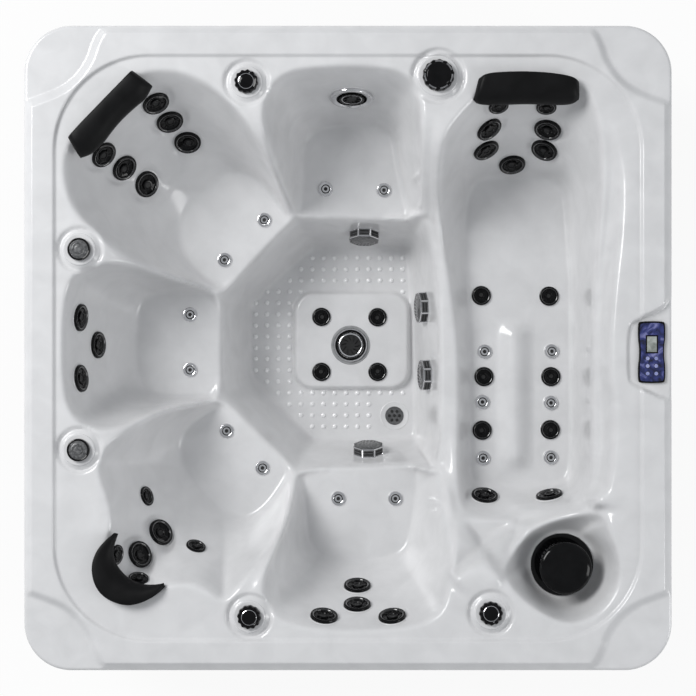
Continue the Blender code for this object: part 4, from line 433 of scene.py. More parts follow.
# Control panel
PANEL_LENGTH = 0.2105
PANEL_WIDTH = 0.0925
PANEL_WAIST = 0.0845
PANEL_CUT = 0.008
PANEL_STRAIGHT = 0.42
PANEL_BEND = 0.20
PANEL_ROUNDS = 2
PANEL_SINK = 0.004
PANEL_BEVEL = 0.004
BEVEL_START = 0.3
PANEL_CLEAR = 0.0006
FILM_SHARE = 0.88
FILM_LONG_SHARE = 0.94
FILM_THICK = 0.0003
WINDOW_FRAME = 0.006
WINDOW_LENGTH = 0.062
WINDOW_WIDTH = 0.042
WINDOW_SHIFT = 0.027
WINDOW_RISE = 0.0008
BUTTONS = 6
BUTTON_SIDES = 32
BUTTON_HEIGHT = 0.003
BUTTON_PROFILE = (
    (0.98, 0, 1), (0.98, 0.22, 1), (0.9, 0.3, 1), (0.8, 0.29), (0.7, 0.33), (0.35, 0.37), (0, 0.375),
)

# Pillows. The section's points are a place across the cushion, a height and a share of the droop.
PILLOW_THICK = 0.0415
PILLOW_ROUNDS = 2
PILLOW_SMOOTHING = 2
END_ROUND = 0.022
END_START = 0.003
PILLOW_WIDE = 0.095
PILLOW_LIFT = 0.0005
PILLOW_CLEARANCE = 0.004
SECTION_ROUNDS = 1
PILLOW_SECTION = (
    (-0.92, 0), (-0.2, 0), (0.35, 0, 0.35), (0.88, 0, 1), (0.985, 0.2, 1), (0.95, 0.3, 1), (1, 0.4, 1),
    (0.93, 0.66, 0.8), (0.62, 0.88, 0.45), (0.2, 0.97, 0.15), (-0.4, 1), (-0.8, 0.99), (-0.93, 0.94),
    (-0.99, 0.8), (-1.01, 0.52), (-0.96, 0.42), (-1.01, 0.3),
)
# Each pillow's droop, its outer edge and its edge over the seat
PILLOWS = {
    "back_left_pillow": (0.030, (
        (-861, 650), (-841, 670), (-822, 692), (-782, 733), (-760, 756), (-739, 778), (-699, 819),
        (-681, 838), (-663, 857),
    ), (
        (-826, 588), (-804, 595), (-783, 606), (-753, 636), (-727, 673), (-698, 707), (-656, 746),
        (-623, 772), (-602, 813),
    )),
    "lounger_pillow": (0.030, (
        (401, 831), (423, 846), (469, 851), (548, 853), (628, 848), (689, 837), (710, 822),
    ), (
        (386, 768), (401, 754), (453, 751), (548, 756), (634, 752), (692, 753), (713, 770),
    )),
    "front_left_pillow": (0.020, (
        (-719, -571), (-748, -595), (-774, -627), (-788, -669), (-783, -715), (-763, -755), (-727, -781),
        (-679, -795), (-635, -787), (-590, -764), (-562, -738),
    ), (
        (-707, -574), (-716, -601), (-723, -626), (-719, -657), (-704, -684), (-679, -710), (-650, -726),
        (-623, -732), (-598, -732), (-575, -729), (-568, -726),
    )),
}

# Materials: dark and pale colour, size of the mottling and of the fine texture, least and most
# roughness, strength and depth of the relief, and what else differs
COAT_ROUGHNESS = 0.16
MOTTLING = (5.0, 0.4)
MOTTLING_STOPS = (0.32, 0.68)
FINE_DETAIL = 3.0
SURFACES = {
    "acrylic": (
        (0.67, 0.67, 0.675), (0.73, 0.73, 0.735), 0.09, 0.011, (0.17, 0.25), (0.05, 0.0005),
        {"Coat Weight": 0.3}),
    "base_plastic": (
        (0.030, 0.031, 0.033), (0.050, 0.051, 0.054), 0.12, 0.004, (0.50, 0.64), (0.30, 0.0008), {}),
    "black_plastic": (
        (0.0008, 0.0008, 0.001), (0.003, 0.003, 0.0034), 0.03, 0.0012, (0.07, 0.13), (0.04, 0.0002),
        {"Specular IOR Level": 0.22}),
    "black_gloss": (
        (0.0008, 0.0008, 0.001), (0.003, 0.003, 0.0034), 0.03, 0.0012, (0.03, 0.06), (0.02, 0.0001),
        {"Coat Weight": 1.0, "Specular IOR Level": 0.7, "Coat Roughness": 0.03}),
    # The studs' acrylic is paler than the floor's: a painted highlight for the light their domes catch.
    "stud_painted_highlight": (
        (0.84, 0.84, 0.845), (0.88, 0.88, 0.885), 0.09, 0.011, (0.17, 0.25), (0.03, 0.0005),
        {"Coat Weight": 1.0, "Coat Roughness": 0.05}),
    "knob_grey": (
        (0.055, 0.056, 0.058), (0.17, 0.172, 0.175), 0.008, 0.0015, (0.16, 0.28), (0.2, 0.0006), {}),
    "grey_plastic": (
        (0.26, 0.265, 0.27), (0.38, 0.385, 0.39), 0.03, 0.0015, (0.24, 0.36), (0.12, 0.0004), {}),
    "smoke": (
        (0.065, 0.066, 0.068), (0.13, 0.131, 0.134), 0.012, 0.002, (0.10, 0.18), (0.04, 0.0002), {}),
    "chrome": (
        (0.62, 0.62, 0.63), (0.80, 0.80, 0.81), 0.05, 0.003, (0.08, 0.18), (0.04, 0.0003),
        {"Metallic": 1.0}),
    # Grey metal for the diverter's shoulder strips, painted highlights of light on its finger dents.
    "bright": (
        (0.20, 0.20, 0.21), (0.42, 0.42, 0.43), 0.01, 0.003, (0.12, 0.22), (0.04, 0.0003),
        {"Metallic": 0.8}),
    # Matte black, and on the covers and the drain the painted shade in holes and slots.
    "dark": (
        (0.002, 0.002, 0.002), (0.006, 0.006, 0.006), 0.02, 0.002, (0.45, 0.60), (0.1, 0.0003), {}),
    "motor_steel": (
        (0.10, 0.11, 0.12), (0.20, 0.21, 0.22), 0.08, 0.003, (0.34, 0.50), (0.2, 0.0005),
        {"Metallic": 0.6}),
    "display": (
        (0.15, 0.17, 0.15), (0.46, 0.49, 0.46), 0.03, 0.002, (0.12, 0.20), (0.02, 0.0002),
        {"Coat Weight": 0.5}),
    "button": (
        (0.20, 0.23, 0.48), (0.40, 0.42, 0.68), 0.02, 0.002, (0.22, 0.32), (0.05, 0.0002), {}),
    "filter_cloth": (
        (0.62, 0.63, 0.62), (0.80, 0.80, 0.78), 0.02, 0.0012, (0.70, 0.85), (0.5, 0.0006), {}),
}
# Woods: dark and pale colour, stretch of the grain, least and most roughness
WOODS = {
    "siding": ((0.060, 0.050, 0.045), (0.150, 0.128, 0.112), (0.05, 0.05, 1.6), (0.42, 0.60)),
    "timber": ((0.36, 0.24, 0.13), (0.62, 0.46, 0.28), (0.3, 0.3, 0.3), (0.55, 0.75)),
}
WOOD_STOPS = (0.30, 0.52, 0.70)
WOOD_GRAIN = (34.0, 8.0, 1.2)
WOOD_RELIEF = (0.45, 0.0012)
LEATHER_STOPS = ((0.30, (0.0025, 0.0025, 0.0027)), (0.72, (0.006, 0.006, 0.0065)))
LEATHER_ROUGHNESS = (0.40, 0.56)
LEATHER_MOTTLING = (14.0, 4.0, 0.6)
LEATHER_CELLS = 520.0
LEATHER_RELIEF = (0.22, 0.0006)
LEATHER_GLOSS = 0.16
FILM_STOPS = (
    (0.30, (0.002, 0.003, 0.020)), (0.44, (0.008, 0.014, 0.085)), (0.57, (0.026, 0.036, 0.17)),
    (0.74, (0.22, 0.23, 0.46)),
)
FILM_ROUGHNESS = (0.22, 0.36)
FILM_CLOUDS = (26.0, 6.0, 1.6)
FILM_GRAIN = (900.0, 2.0)
FILM_RELIEF = (0.08, 0.0003)
FILM_COAT = 0.4

# Stage
FLOOR_REACH = 14
FLOOR_COLOUR = (0.80, 0.80, 0.80)
FLOOR_ROUGHNESS = 0.9
FLOOR_GLOW = 0.92
WORLD_COLOUR = (0.93, 0.96, 1.0)
WORLD_STRENGTH = 0.42
# Lamps: name, place, aim, size and power
LAMPS = (
    ("key", (-4.7, 2.7, 6.0), (0, 0, 0.6), (3.2, 3.2), 410),
    ("side", (4.6, -1.8, 3.0), (0, 0, 0.5), (1.2, 4.0), 70),
)
CAMERA_PLACE = (0, 0, 6.9)
CAMERA_LENS = 91.8
CAMERA_SENSOR = 36


# The shell's surface

def spot(u, v):
    """A place on the tub in metres."""
    return np.array([u / PLAN_SCALE * HALF_WIDTH, v / PLAN_SCALE * HALF_LENGTH])


def placed(points):
    """Outline points in metres, with their heights."""
    rows = np.array([(u, v, *(level or (LEVEL_SCALE,))) for u, v, *level in points])
    size = np.array([HALF_WIDTH, HALF_LENGTH, DECK - SEAT_HEIGHT])
    return rows / (PLAN_SCALE, PLAN_SCALE, LEVEL_SCALE) * size + (0, 0, SEAT_HEIGHT)


def softened(points, rounds, closed=True):
    """Rounds of corner cutting."""
    for _ in range(rounds):
        following = np.roll(points, -1, axis=0)
        near = points * NEAR_SHARE + following * (1 - NEAR_SHARE)
        far = points * (1 - NEAR_SHARE) + following * NEAR_SHARE
        rows = np.stack([near, far], axis=1)
        if closed:
            points = rows.reshape(-1, 3)
        else:
            points = np.concatenate([points[:1], rows[:-1].reshape(-1, 3), points[-1:]])
    return points


def nearest(points, curve, closed=True):
    """The distance from each point to the curve, and the curve's height where it is nearest."""
    best = np.full(len(points), np.inf)
    height = np.zeros(len(points))
    ends = np.roll(curve, -1, axis=0)
    count = len(curve) if closed else len(curve) - 1
    for start, end in zip(curve[:count], ends[:count]):
        along = end[:2] - start[:2]
        share = np.clip((points - start[:2]) @ along / (along @ along), 0, 1)
        gap = np.linalg.norm(points - start[:2] - share[:, None] * along, axis=1)
        closer = gap < best
        best[closer] = gap[closer]
        height[closer] = start[2] + share[closer] * (end[2] - start[2])
    return best, height


def inside(points, curve):
    odd = np.zeros(len(points), bool)
    for start, end in zip(curve, np.roll(curve, -1, axis=0)):
        if start[1] == end[1]:
            continue
        spans = (points[:, 1] < start[1]) != (points[:, 1] < end[1])
        share = (points[:, 1] - start[1]) / (end[1] - start[1])
        odd ^= spans & (points[:, 0] < start[0] + share * (end[0] - start[0]))
    return odd


def smooth_step(value):
    value = np.clip(value, 0, 1)
    return value * value * (3 - 2 * value)


def rounded_box(points, half_x, half_y, radius):
    """Signed distance to a rounded rectangle round the origin, negative inside."""
    reach = np.abs(points) - np.array([half_x - radius, half_y - radius])
    outer = np.linalg.norm(np.maximum(reach, 0), axis=1)
    return outer + np.minimum(reach.max(axis=1), 0) - radius


def well_floor():
    """Round floor of the filter's bowl."""
    x, y = spot(*FILTER_SPOT)
    turns = [2 * math.pi * k / WELL_SIDES for k in range(WELL_SIDES)]
    radius = WELL_FLOOR_RADIUS
    return np.array([(x + math.cos(turn) * radius, y + math.sin(turn) * radius, 0) for turn in turns])


def ledge_outline():
    """The line where the flat ledge meets the raised bands, at deck height."""
    half_x, half_y, radius = LEDGE_BOX
    rows = []
    for quarter, (sign_x, sign_y) in enumerate(((1, 1), (-1, 1), (-1, -1), (1, -1))):
        for part in range(LEDGE_PARTS + 1):
            turn = math.pi / 2 * (quarter + part / LEDGE_PARTS)
            x = sign_x * (half_x - radius) + radius * math.cos(turn)
            y = sign_y * (half_y - radius) + radius * math.sin(turn)
            rows.append((x, y, DECK))
    return np.array(rows)


def pocket_height(points, rim, floor, low, hollow):
    """Height of one pocket's wall and floor at each point, endless outside its rim."""
    gap, level = nearest(points, rim)
    wide, _ = nearest(points, floor)
    wide[inside(points, floor)] = 0
    climb = wide / (wide + gap + TINY)
    climb = (1 - hollow) * climb + hollow * climb * climb
    height = low + (level - low) * climb
    height[~inside(points, rim)] = np.inf
    return height


def ridge_height(points, curves):
    """Height between the pockets, drawn from the nearest outlines."""
    total = np.zeros(len(points))
    weights = np.zeros(len(points))
    for curve, closed in curves:
        gap, level = nearest(points, curve, closed)
        weight = 1 / (gap + RASTER_STEP / 2) ** PULL_POWER
        total += weight * level
        weights += weight
    return total / weights


def basin_raster():
    """Heights of the pockets and of the ridges between them, on a regular grid."""
    xs = np.arange(-HALF_WIDTH - RASTER_STEP, HALF_WIDTH + 2 * RASTER_STEP, RASTER_STEP)
    ys = np.arange(-HALF_LENGTH - RASTER_STEP, HALF_LENGTH + 2 * RASTER_STEP, RASTER_STEP)
    grid_x, grid_y = np.meshgrid(xs, ys, indexing="ij")
    points = np.stack([grid_x.ravel(), grid_y.ravel()], axis=1)
    deepest = np.full(len(points), np.inf)
    curves = [(placed(ARMREST_EDGE), False), (placed(STEP_EDGE), True), (ledge_outline(), True)]
    for low, hollow, rim, floor in POCKETS.values():
        rim = softened(placed(rim), SOFTENING)
        floor = softened(placed(floor) if floor else well_floor(), SOFTENING)
        curves.append((rim, True))
        deepest = np.minimum(deepest, pocket_height(points, rim, floor, low, hollow))
    heights = np.where(np.isfinite(deepest), deepest, ridge_height(points, curves))
    heights[rounded_box(points, *LEDGE_BOX) > 0] = DECK
    heights = flattened(points, blurred(heights.reshape(grid_x.shape)).ravel())
    return xs, ys, heights.reshape(grid_x.shape)


def flattened(points, heights):
    """The heights with a flat seat under each jet and cover, faded into the wall round it."""
    fittings = [jet for jets in JETS.values() for jet in jets]
    fittings += [("suction", *place) for place in SUCTION_COVERS.values()]
    for kind, u, v in fittings:
        radius = SEAT_RADIUS[kind]
        from_middle = points - spot(u, v)
        near = np.linalg.norm(from_middle, axis=1) < radius
        rows = np.column_stack([np.ones(near.sum()), from_middle[near]])
        middle, *slope = np.linalg.lstsq(rows, heights[near], rcond=None)[0]
        rise = from_middle @ slope
        away = np.sqrt((from_middle ** 2).sum(axis=1) + rise ** 2) / radius
        share = smooth_step((SEAT_FADE - away) / (SEAT_FADE - SEAT_FLAT))
        heights = heights + share * (middle + rise - heights)
    return heights


def blurred(heights):
    """The raster with its edges rounded."""
    reach = int(BLUR_REACH * BLUR_RADIUS / RASTER_STEP)
    offsets = np.arange(-reach, reach + 1) * RASTER_STEP
    kernel = np.exp(-0.5 * (offsets / BLUR_RADIUS) ** 2)
    kernel /= kernel.sum()
    for axis in (0, 1):
        pad = [(reach, reach) if side == axis else (0, 0) for side in (0, 1)]
        wide = np.pad(heights, pad, mode="edge")
        size = heights.shape[axis]
        parts = [np.take(wide, range(k, k + size), axis=axis) * kernel[k] for k in range(len(kernel))]
        heights = sum(parts)
    return heights


RASTER_X, RASTER_Y, RASTER = basin_raster()


def basin_height(points):
    """Height of the pockets and ridges at each point, between the raster's four nearest values."""
    place = (points - (RASTER_X[0], RASTER_Y[0])) / RASTER_STEP
    low = np.clip(place.astype(int), 0, np.array(RASTER.shape) - 2)
    low_x, low_y = low.T
    share_x, share_y = (place - low).T
    near = RASTER[low_x, low_y] * (1 - share_x) + RASTER[low_x + 1, low_y] * share_x
    far = RASTER[low_x, low_y + 1] * (1 - share_x) + RASTER[low_x + 1, low_y + 1] * share_x
    return near * (1 - share_y) + far * share_y


def within(points, line, edge):
    """A share that grows from 0 outside a softened line to 1 inside it, over the edge's width."""
    line = softened(placed(line), SOFTENING)
    gap, _ = nearest(points, line)
    return smooth_step(0.5 + np.where(inside(points, line), gap, -gap) / edge)


def rim_rise(points):
    """Raised bands, corner pads, panel notch and rounded lip."""
    edge = -rounded_box(points, HALF_WIDTH, HALF_LENGTH, CORNER_RADIUS)
    risen = np.clip((edge - LIP_WIDTH) / LIP_SLOPE, 0, 1)
    ring = smooth_step(rounded_box(points, *LEDGE_BOX) / BAND_EDGE)
    pad = within(np.abs(points), PAD_LINE, PAD_EDGE)
    notch = within(points, NOTCH_LINE, NOTCH_EDGE)
    rise = BAND_RISE * (risen * ring) * (1 - pad) * (1 - notch)
    rise -= PAD_DROP * np.maximum(pad * ring, 1 - risen) * (1 - notch)
    rise -= NOTCH_DROP * notch
    near_edge = np.clip(1 - edge / LIP_ROUND, 0, 1)
    return rise - LIP_ROUND * (1 - np.sqrt(1 - near_edge * near_edge))


def footwell_rise(points):
    """Raised platform in the footwell and the ridge between the lounger's leg troughs."""
    gap = -rounded_box(points - spot(*PLATFORM_SPOT), *PLATFORM_BOX)
    platform = PLATFORM_RISE * smooth_step(0.5 + gap / PLATFORM_EDGE)
    across, back = spot(LOUNGE_RIDGE_ACROSS, LOUNGE_RIDGE_ENDS[0])
    _, front = spot(LOUNGE_RIDGE_ACROSS, LOUNGE_RIDGE_ENDS[1])
    from_ridge = np.abs(points[:, 0] - across)
    from_end = (back - front) / 2 - np.abs(points[:, 1] - (back + front) / 2)
    ridge = smooth_step(1 - from_ridge / LOUNGE_RIDGE_WIDTH) * smooth_step(from_end / LOUNGE_RIDGE_WIDTH)
    return platform + LOUNGE_RIDGE_RISE * ridge


def valve_groove(points):
    """Ring-shaped hollows round the valves."""
    depth = np.zeros(len(points))
    for u, v, radius in VALVES:
        away = np.linalg.norm(points - spot(u, v), axis=1) - radius - GROOVE_START
        depth += GROOVE_DEPTH * np.sin(math.pi * np.clip(away / GROOVE_WIDTH, 0, 1)) ** 2
    return depth


def shell_height(points):
    return basin_height(points) + rim_rise(points) + footwell_rise(points) - valve_groove(points)


# Mesh tools

def added(name, data):
    """A new object in the scene."""
    thing = bpy.data.objects.new(name, data)
    bpy.context.scene.collection.objects.link(thing)
    return thing


class Form:
    """Vertices and faces of one piece, gathered part by part."""

    def __init__(self):
        self.vertices, self.faces, self.finishes = [], [], []

    def add(self, vertices, faces, finish=0, place=Matrix.Identity(4)):
        start = len(self.vertices)
        self.vertices += [tuple(place @ Vector(v)) for v in vertices]
        self.faces += [tuple(start + k for k in face) for face in faces]
        self.finishes += [finish] * len(faces)

    def piece(self, name, body, looks, slot, replaced=(), angle=SHARP_ANGLE):
        """The finished object, riding on its body."""
        mesh = bpy.data.meshes.new(name)
        mesh.from_pydata(self.vertices, [], self.faces)
        mesh.polygons.foreach_set("material_index", self.finishes)
        work = bmesh.new()
        work.from_mesh(mesh)
        bmesh.ops.remove_doubles(work, verts=work.verts, dist=WELD)
        bmesh.ops.recalc_face_normals(work, faces=work.faces)
        work.to_mesh(mesh)
        work.free()
        for look in looks:
            mesh.materials.append(FINISHES[look])
        mesh.shade_smooth()
        mesh.set_sharp_from_angle(angle=math.radians(angle))
        thing = added(name, mesh)
        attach(thing, body)
        if replaced:
            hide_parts(*replaced)
        return thing


def turned(form, profile, size, sides, place, waves=0, depth=0.0):
    """Turns a profile round Z. waves scallop it, by depth."""
    profile = [(*row, 0, 0)[:4] for row in profile]
    rings, vertices, by_finish = [], [], {}
    for radius, height, _, scallop in profile:
        start = len(vertices)
        if not radius:
            vertices.append((0, 0, height * size))
            rings.append([start] * sides)
            continue
        for k in range(sides):
            turn = 2 * math.pi * k / sides
            reach = radius * size - depth * scallop * size * (0.5 + 0.5 * math.cos(waves * turn))
            vertices.append((reach * math.cos(turn), reach * math.sin(turn), height * size))
        rings.append(range(start, start + sides))
    for (_, _, finish, _), near, far in zip(profile, rings, rings[1:]):
        for k in range(sides):
            following = (k + 1) % sides
            face = dict.fromkeys((near[k], near[following], far[following], far[k]))
            by_finish.setdefault(finish, []).append(face)
    start = len(form.vertices)
    form.add(vertices, [], 0, place)
    for finish, faces in by_finish.items():
        form.faces += [tuple(start + k for k in face) for face in faces]
        form.finishes += [finish] * len(faces)


def layered(form, layers, finish, place=Matrix.Identity(4)):
    """Closed outlines stacked one over another, closed at both ends."""
    count = len(layers[0])
    vertices = [point for layer in layers for point in layer]
    faces = [tuple(reversed(range(count))), tuple(range(len(vertices) - count, len(vertices)))]
    for start in range(0, len(vertices) - count, count):
        for k in range(count):
            following = (k + 1) % count
            faces.append((start + k, start + following, start + count + following, start + count + k))
    form.add(vertices, faces, finish, place)


def block(form, low, high, finish, place):
    """A box between two corners, its top edges drawn in a little."""
    (x0, y0, z0), (x1, y1, z1) = low, high
    inset = BLOCK_BEVEL * min(x1 - x0, y1 - y0)
    layers = []
    for z, edge in ((z0, 0), (z1 - inset, 0), (z1, inset)):
        left, right, front, back = x0 + edge, x1 - edge, y0 + edge, y1 - edge
        layers.append([(left, front, z), (right, front, z), (right, back, z), (left, back, z)])
    layered(form, layers, finish, place)


# Materials

def node(tree, kind, values={}, links={}):
    """A shader node, with some inputs set and others linked."""
    made = tree.nodes.new("ShaderNode" + kind)
    for name, value in values.items():
        made.inputs[name].default_value = value
    for name, source in links.items():
        tree.links.new(source, made.inputs[name])
    return made


def noise(tree, mapping, scale, detail, distortion=0.0):
    values = {"Scale": scale, "Detail": detail, "Distortion": distortion}
    return node(tree, "TexNoise", values, {"Vector": mapping}).outputs["Fac"]


def ramp(tree, source, stops):
    """Colours along a value."""
    made = node(tree, "ValToRGB", {}, {"Fac": source})
    bar = made.color_ramp
    while len(bar.elements) < len(stops):
        bar.elements.new(1.0)
    for element, (place, colour) in zip(bar.elements, stops):
        element.position = place
        element.color = (*colour, 1.0)
    return made.outputs["Color"]


def material(name):
    """A new material, its node tree and its shader."""
    made = bpy.data.materials.new(name)
    made.use_nodes = True
    return made, made.node_tree, made.node_tree.nodes["Principled BSDF"]


def finish(name, stops, rough, mottling, relief, fine=None, cells=None, stretch=(1, 1, 1), more={}):
    """A material whose colour and roughness follow one noise. Its relief follows the same noise, or
    a fine noise or cells."""
    made, tree, shader = material(name)
    place = node(tree, "TexCoord").outputs["Object"]
    mapping = node(tree, "Mapping", {"Scale": stretch}, {"Vector": place}).outputs["Vector"]
    broad = height = noise(tree, mapping, *mottling)
    if fine:
        height = noise(tree, mapping, *fine)
    if cells:
        height = node(tree, "TexVoronoi", {"Scale": cells}, {"Vector": mapping}).outputs["Distance"]
    least, most = rough
    ranged = node(tree, "MapRange", {"To Min": least, "To Max": most}, {"Value": broad})
    bump = node(tree, "Bump", {"Strength": relief[0], "Distance": relief[1]}, {"Height": height})
    tree.links.new(ramp(tree, broad, stops), shader.inputs["Base Color"])
    tree.links.new(ranged.outputs["Result"], shader.inputs["Roughness"])
    tree.links.new(bump.outputs["Normal"], shader.inputs["Normal"])
    for socket, value in more.items():
        shader.inputs[socket].default_value = value
    return made


def finishes():
    """Every material, by the name of its slot or of its use."""
    made = {}
    for name, (dark, pale, grain, fine, rough, relief, more) in SURFACES.items():
        stops = tuple(zip(MOTTLING_STOPS, (dark, pale)))
        more = {"Coat Roughness": COAT_ROUGHNESS, **more}
        fine = (1 / fine, FINE_DETAIL)
        made[name] = finish(name, stops, rough, (1 / grain, *MOTTLING), relief, fine, more=more)
    for name, (dark, pale, stretch, rough) in WOODS.items():
        middle = [(a + b) / 2 for a, b in zip(dark, pale)]
        stops = tuple(zip(WOOD_STOPS, (dark, middle, pale)))
        made[name] = finish(name, stops, rough, WOOD_GRAIN, WOOD_RELIEF, stretch=stretch)
    made["pillow_leather"] = finish(
        "pillow_leather", LEATHER_STOPS, LEATHER_ROUGHNESS, LEATHER_MOTTLING, LEATHER_RELIEF,
        cells=LEATHER_CELLS, more={"Specular IOR Level": LEATHER_GLOSS})
    made["panel_blue"] = finish(
        "panel_blue", FILM_STOPS, FILM_ROUGHNESS, FILM_CLOUDS, FILM_RELIEF, fine=FILM_GRAIN,
        more={"Coat Weight": FILM_COAT})
    return made


FINISHES = finishes()


# Places

def facing(origin, direction):
    """A place at the origin given, with its Z along the direction."""
    turn = Vector(direction).normalized().to_track_quat("Z", "Y")
    return Matrix.Translation(origin) @ turn.to_matrix().to_4x4()


def surface_place(point):
    """Where a fitting sits: its origin on the shell's surface, its Z away from the shell."""
    point = np.array([point])
    slopes = []
    for step in np.eye(2) * SLOPE_REACH:
        slopes.append((shell_height(point + step) - shell_height(point - step))[0] / (2 * SLOPE_REACH))
    return facing((*point[0], shell_height(point)[0]), (-slopes[0], -slopes[1], 1))


def joint_place(name):
    """A turning piece's place: its hinge's point, Z along the hinge."""
    joint = [j for j in frame["joints"] if j["name"] == name][0]
    return facing(joint["pos_m"], joint["axis"])


def spun(place, degrees):
    return place @ Matrix.Rotation(math.radians(degrees), 4, "Z")


def foot_place(name):
    """The middle of a solid's underside, and the solid's height."""
    low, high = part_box(name)
    centre = (low + high) / 2
    return Matrix.Translation((centre.x, centre.y, low.z)), high.z - low.z


# Shell

def edge_share(points):
    """How far a point moves in so that the square's border takes the rounded corner, as a share."""
    folded = np.abs(points)
    reach = np.max(folded / (HALF_WIDTH, HALF_LENGTH), axis=1)
    border = folded / np.maximum(reach, TINY)[:, None]
    centre = np.array([HALF_WIDTH - CORNER_RADIUS, HALF_LENGTH - CORNER_RADIUS])
    toward = border @ centre
    square = (border * border).sum(axis=1)
    inner = np.maximum(toward * toward - square * (centre @ centre - CORNER_RADIUS ** 2), 0)
    share = np.where((border > centre).all(axis=1), (toward + np.sqrt(inner)) / square, 1)
    return 1 - (1 - share) * reach ** WARP_POWER


def crowded(count):
    """Grid lines from -1 to 1 that lie closer together towards the rim."""
    line = np.linspace(-1, 1, count)
    return (1 - RIM_CROWD) * line + RIM_CROWD * (1.5 * line - 0.5 * line ** 3)


def make_shell():
    """The moulded surface with its lip turned down to the skirt."""
    count = SHELL_LINES
    grid_x, grid_y = np.meshgrid(crowded(count) * HALF_WIDTH, crowded(count) * HALF_LENGTH, indexing="ij")
    points = np.stack([grid_x.ravel(), grid_y.ravel()], axis=1)
    points = points * edge_share(points)[:, None]
    vertices = np.column_stack([points, shell_height(points)])
    corner = np.arange(count * count).reshape(count, count)
    quads = np.stack([corner[:-1, :-1], corner[1:, :-1], corner[1:, 1:], corner[:-1, 1:]], axis=-1)
    above = np.concatenate([corner[:-1, 0], corner[-1, :-1], corner[:0:-1, -1], corner[0, :0:-1]])
    border = vertices[above]
    rows, faces = [vertices], [quads.reshape(-1, 4)]
    for step in range(SKIRT_ROWS):
        level = border.copy()
        level[:, 2] += (SKIRT_BOTTOM - level[:, 2]) * (step + 1) / SKIRT_ROWS
        below = count * count + step * len(border) + np.arange(len(border))
        rows.append(level)
        faces.append(np.stack([above, below, np.roll(below, -1), np.roll(above, -1)], axis=-1))
        above = below
    form = Form()
    form.add(np.concatenate(rows).tolist(), np.concatenate(faces).tolist())
    thing = form.piece("shell_skin", "tub", ("acrylic",), "acrylic", ("shell",), SHELL_ANGLE)
    wall = thing.modifiers.new("Wall", "SOLIDIFY")
    wall.thickness = SHELL_WALL
    wall.offset = -1


def make_dimples():
    """Low studs on the footwell floor, outside the platform and the drain, in a paler acrylic whose colour
    is a painted highlight.
    """
    form = Form()
    floor = placed(POCKETS["footwell"][-1])
    first, last = (spot(*corner) for corner in DIMPLE_CORNERS)
    for column in range(DIMPLE_COLUMNS):
        for row in range(DIMPLE_ROWS):
            share = np.array([column / (DIMPLE_COLUMNS - 1), row / (DIMPLE_ROWS - 1)])
            point = (first + (last - first) * share)[None, :]
            from_edge = nearest(point, floor)[0][0]
            from_platform = rounded_box(point - spot(*PLATFORM_SPOT), *PLATFORM_BOX)[0]
            from_drain = np.linalg.norm(point[0] - spot(*DRAIN_SPOT))
            clear = min(from_edge, from_platform) >= DIMPLE_CLEARANCE and from_drain >= DRAIN_CLEARANCE
            if clear and inside(point, floor)[0]:
                place = Matrix.Translation((*point[0], shell_height(point)[0]))
                turned(form, DIMPLE_PROFILE, DIMPLE_RADIUS, DIMPLE_SIDES, place)
    form.piece("footwell_studs", "tub", ("stud_painted_highlight",), "acrylic", angle=SOFT_ANGLE)


# Jets

def fins(form, place, size, count, low, high):
    """Curved blades in a jet's dish."""
    inverse = place.inverted()
    for k in range(count):
        blade = spun(place, 360 * k / count)
        line = [spun(blade, FIN_TWIST * reach) @ Vector((reach * size, 0, 0)) for reach in FIN_SHARES]
        line = [inverse @ point for point in line]
        layers = []
        for level, grow in ((low, 1.0), (high, FIN_TAPER)):
            half = FIN_WIDTH * size * grow
            left = [(p.x, p.y + half, level * size) for p in line]
            right = [(p.x, p.y - half, level * size) for p in reversed(line)]
            layers.append(right + left)
        layered(form, layers, 0, place)


def jet_face(form, kind, place):
    """The face of one jet: ring, bead, dish, blades and nozzle."""
    size = JET_RADIUS[kind]
    if kind == "injector":
        turned(form, INJECTOR_PROFILE, size, INJECTOR_SIDES, place)
        return
    turned(form, JET_PROFILE, size, JET_SIDES, place)
    fins(form, place, size, FIN_COUNT, *FIN_LEVELS)
    turned(form, NOZZLE_PROFILE, size, JET_SIDES, place @ Matrix.Translation((NOZZLE_SHIFT * size, 0, 0)))


def make_jet_faces():
    for group, jets in JETS.items():
        form = Form()
        for index, (kind, u, v) in enumerate(jets):
            if kind != "wide":
                jet_face(form, kind, spun(surface_place(spot(u, v)), JET_TURN * index))
        form.piece(group.replace("_jets", "_jet_faces"), "tub", JET_LOOKS, "black_plastic")


def make_nozzle(name, body, slot, place, profile, radius, teeth, levels):
    """A castellated nozzle that turns on its own body."""
    form = Form()
    turned(form, profile, radius, NOZZLE_RING_SIDES, place, teeth, TOOTH_DEPTH)
    fins(form, place, radius, 2 * FIN_COUNT, *levels)
    form.piece(name, body, ("black_plastic", "chrome", "dark"), slot, (body,))


def make_wide_jet():
    """Chrome ring round the neck jet, and its castellated nozzle."""
    form = Form()
    turned(form, WIDE_RING_PROFILE, WIDE_RING_RADIUS, RING_SIDES, surface_place(spot(*WIDE_JET_SPOT)))
    form.piece("wide_jet_ring", "tub", ("chrome", "black_plastic", "acrylic"), "chrome")
    make_nozzle("wide_jet_face", "wide_jet_nozzle", "black_plastic", joint_place("wide_jet_spin"),
                WIDE_NOZZLE_PROFILE, WIDE_NOZZLE_RADIUS, WIDE_TEETH, WIDE_FIN_LEVELS)


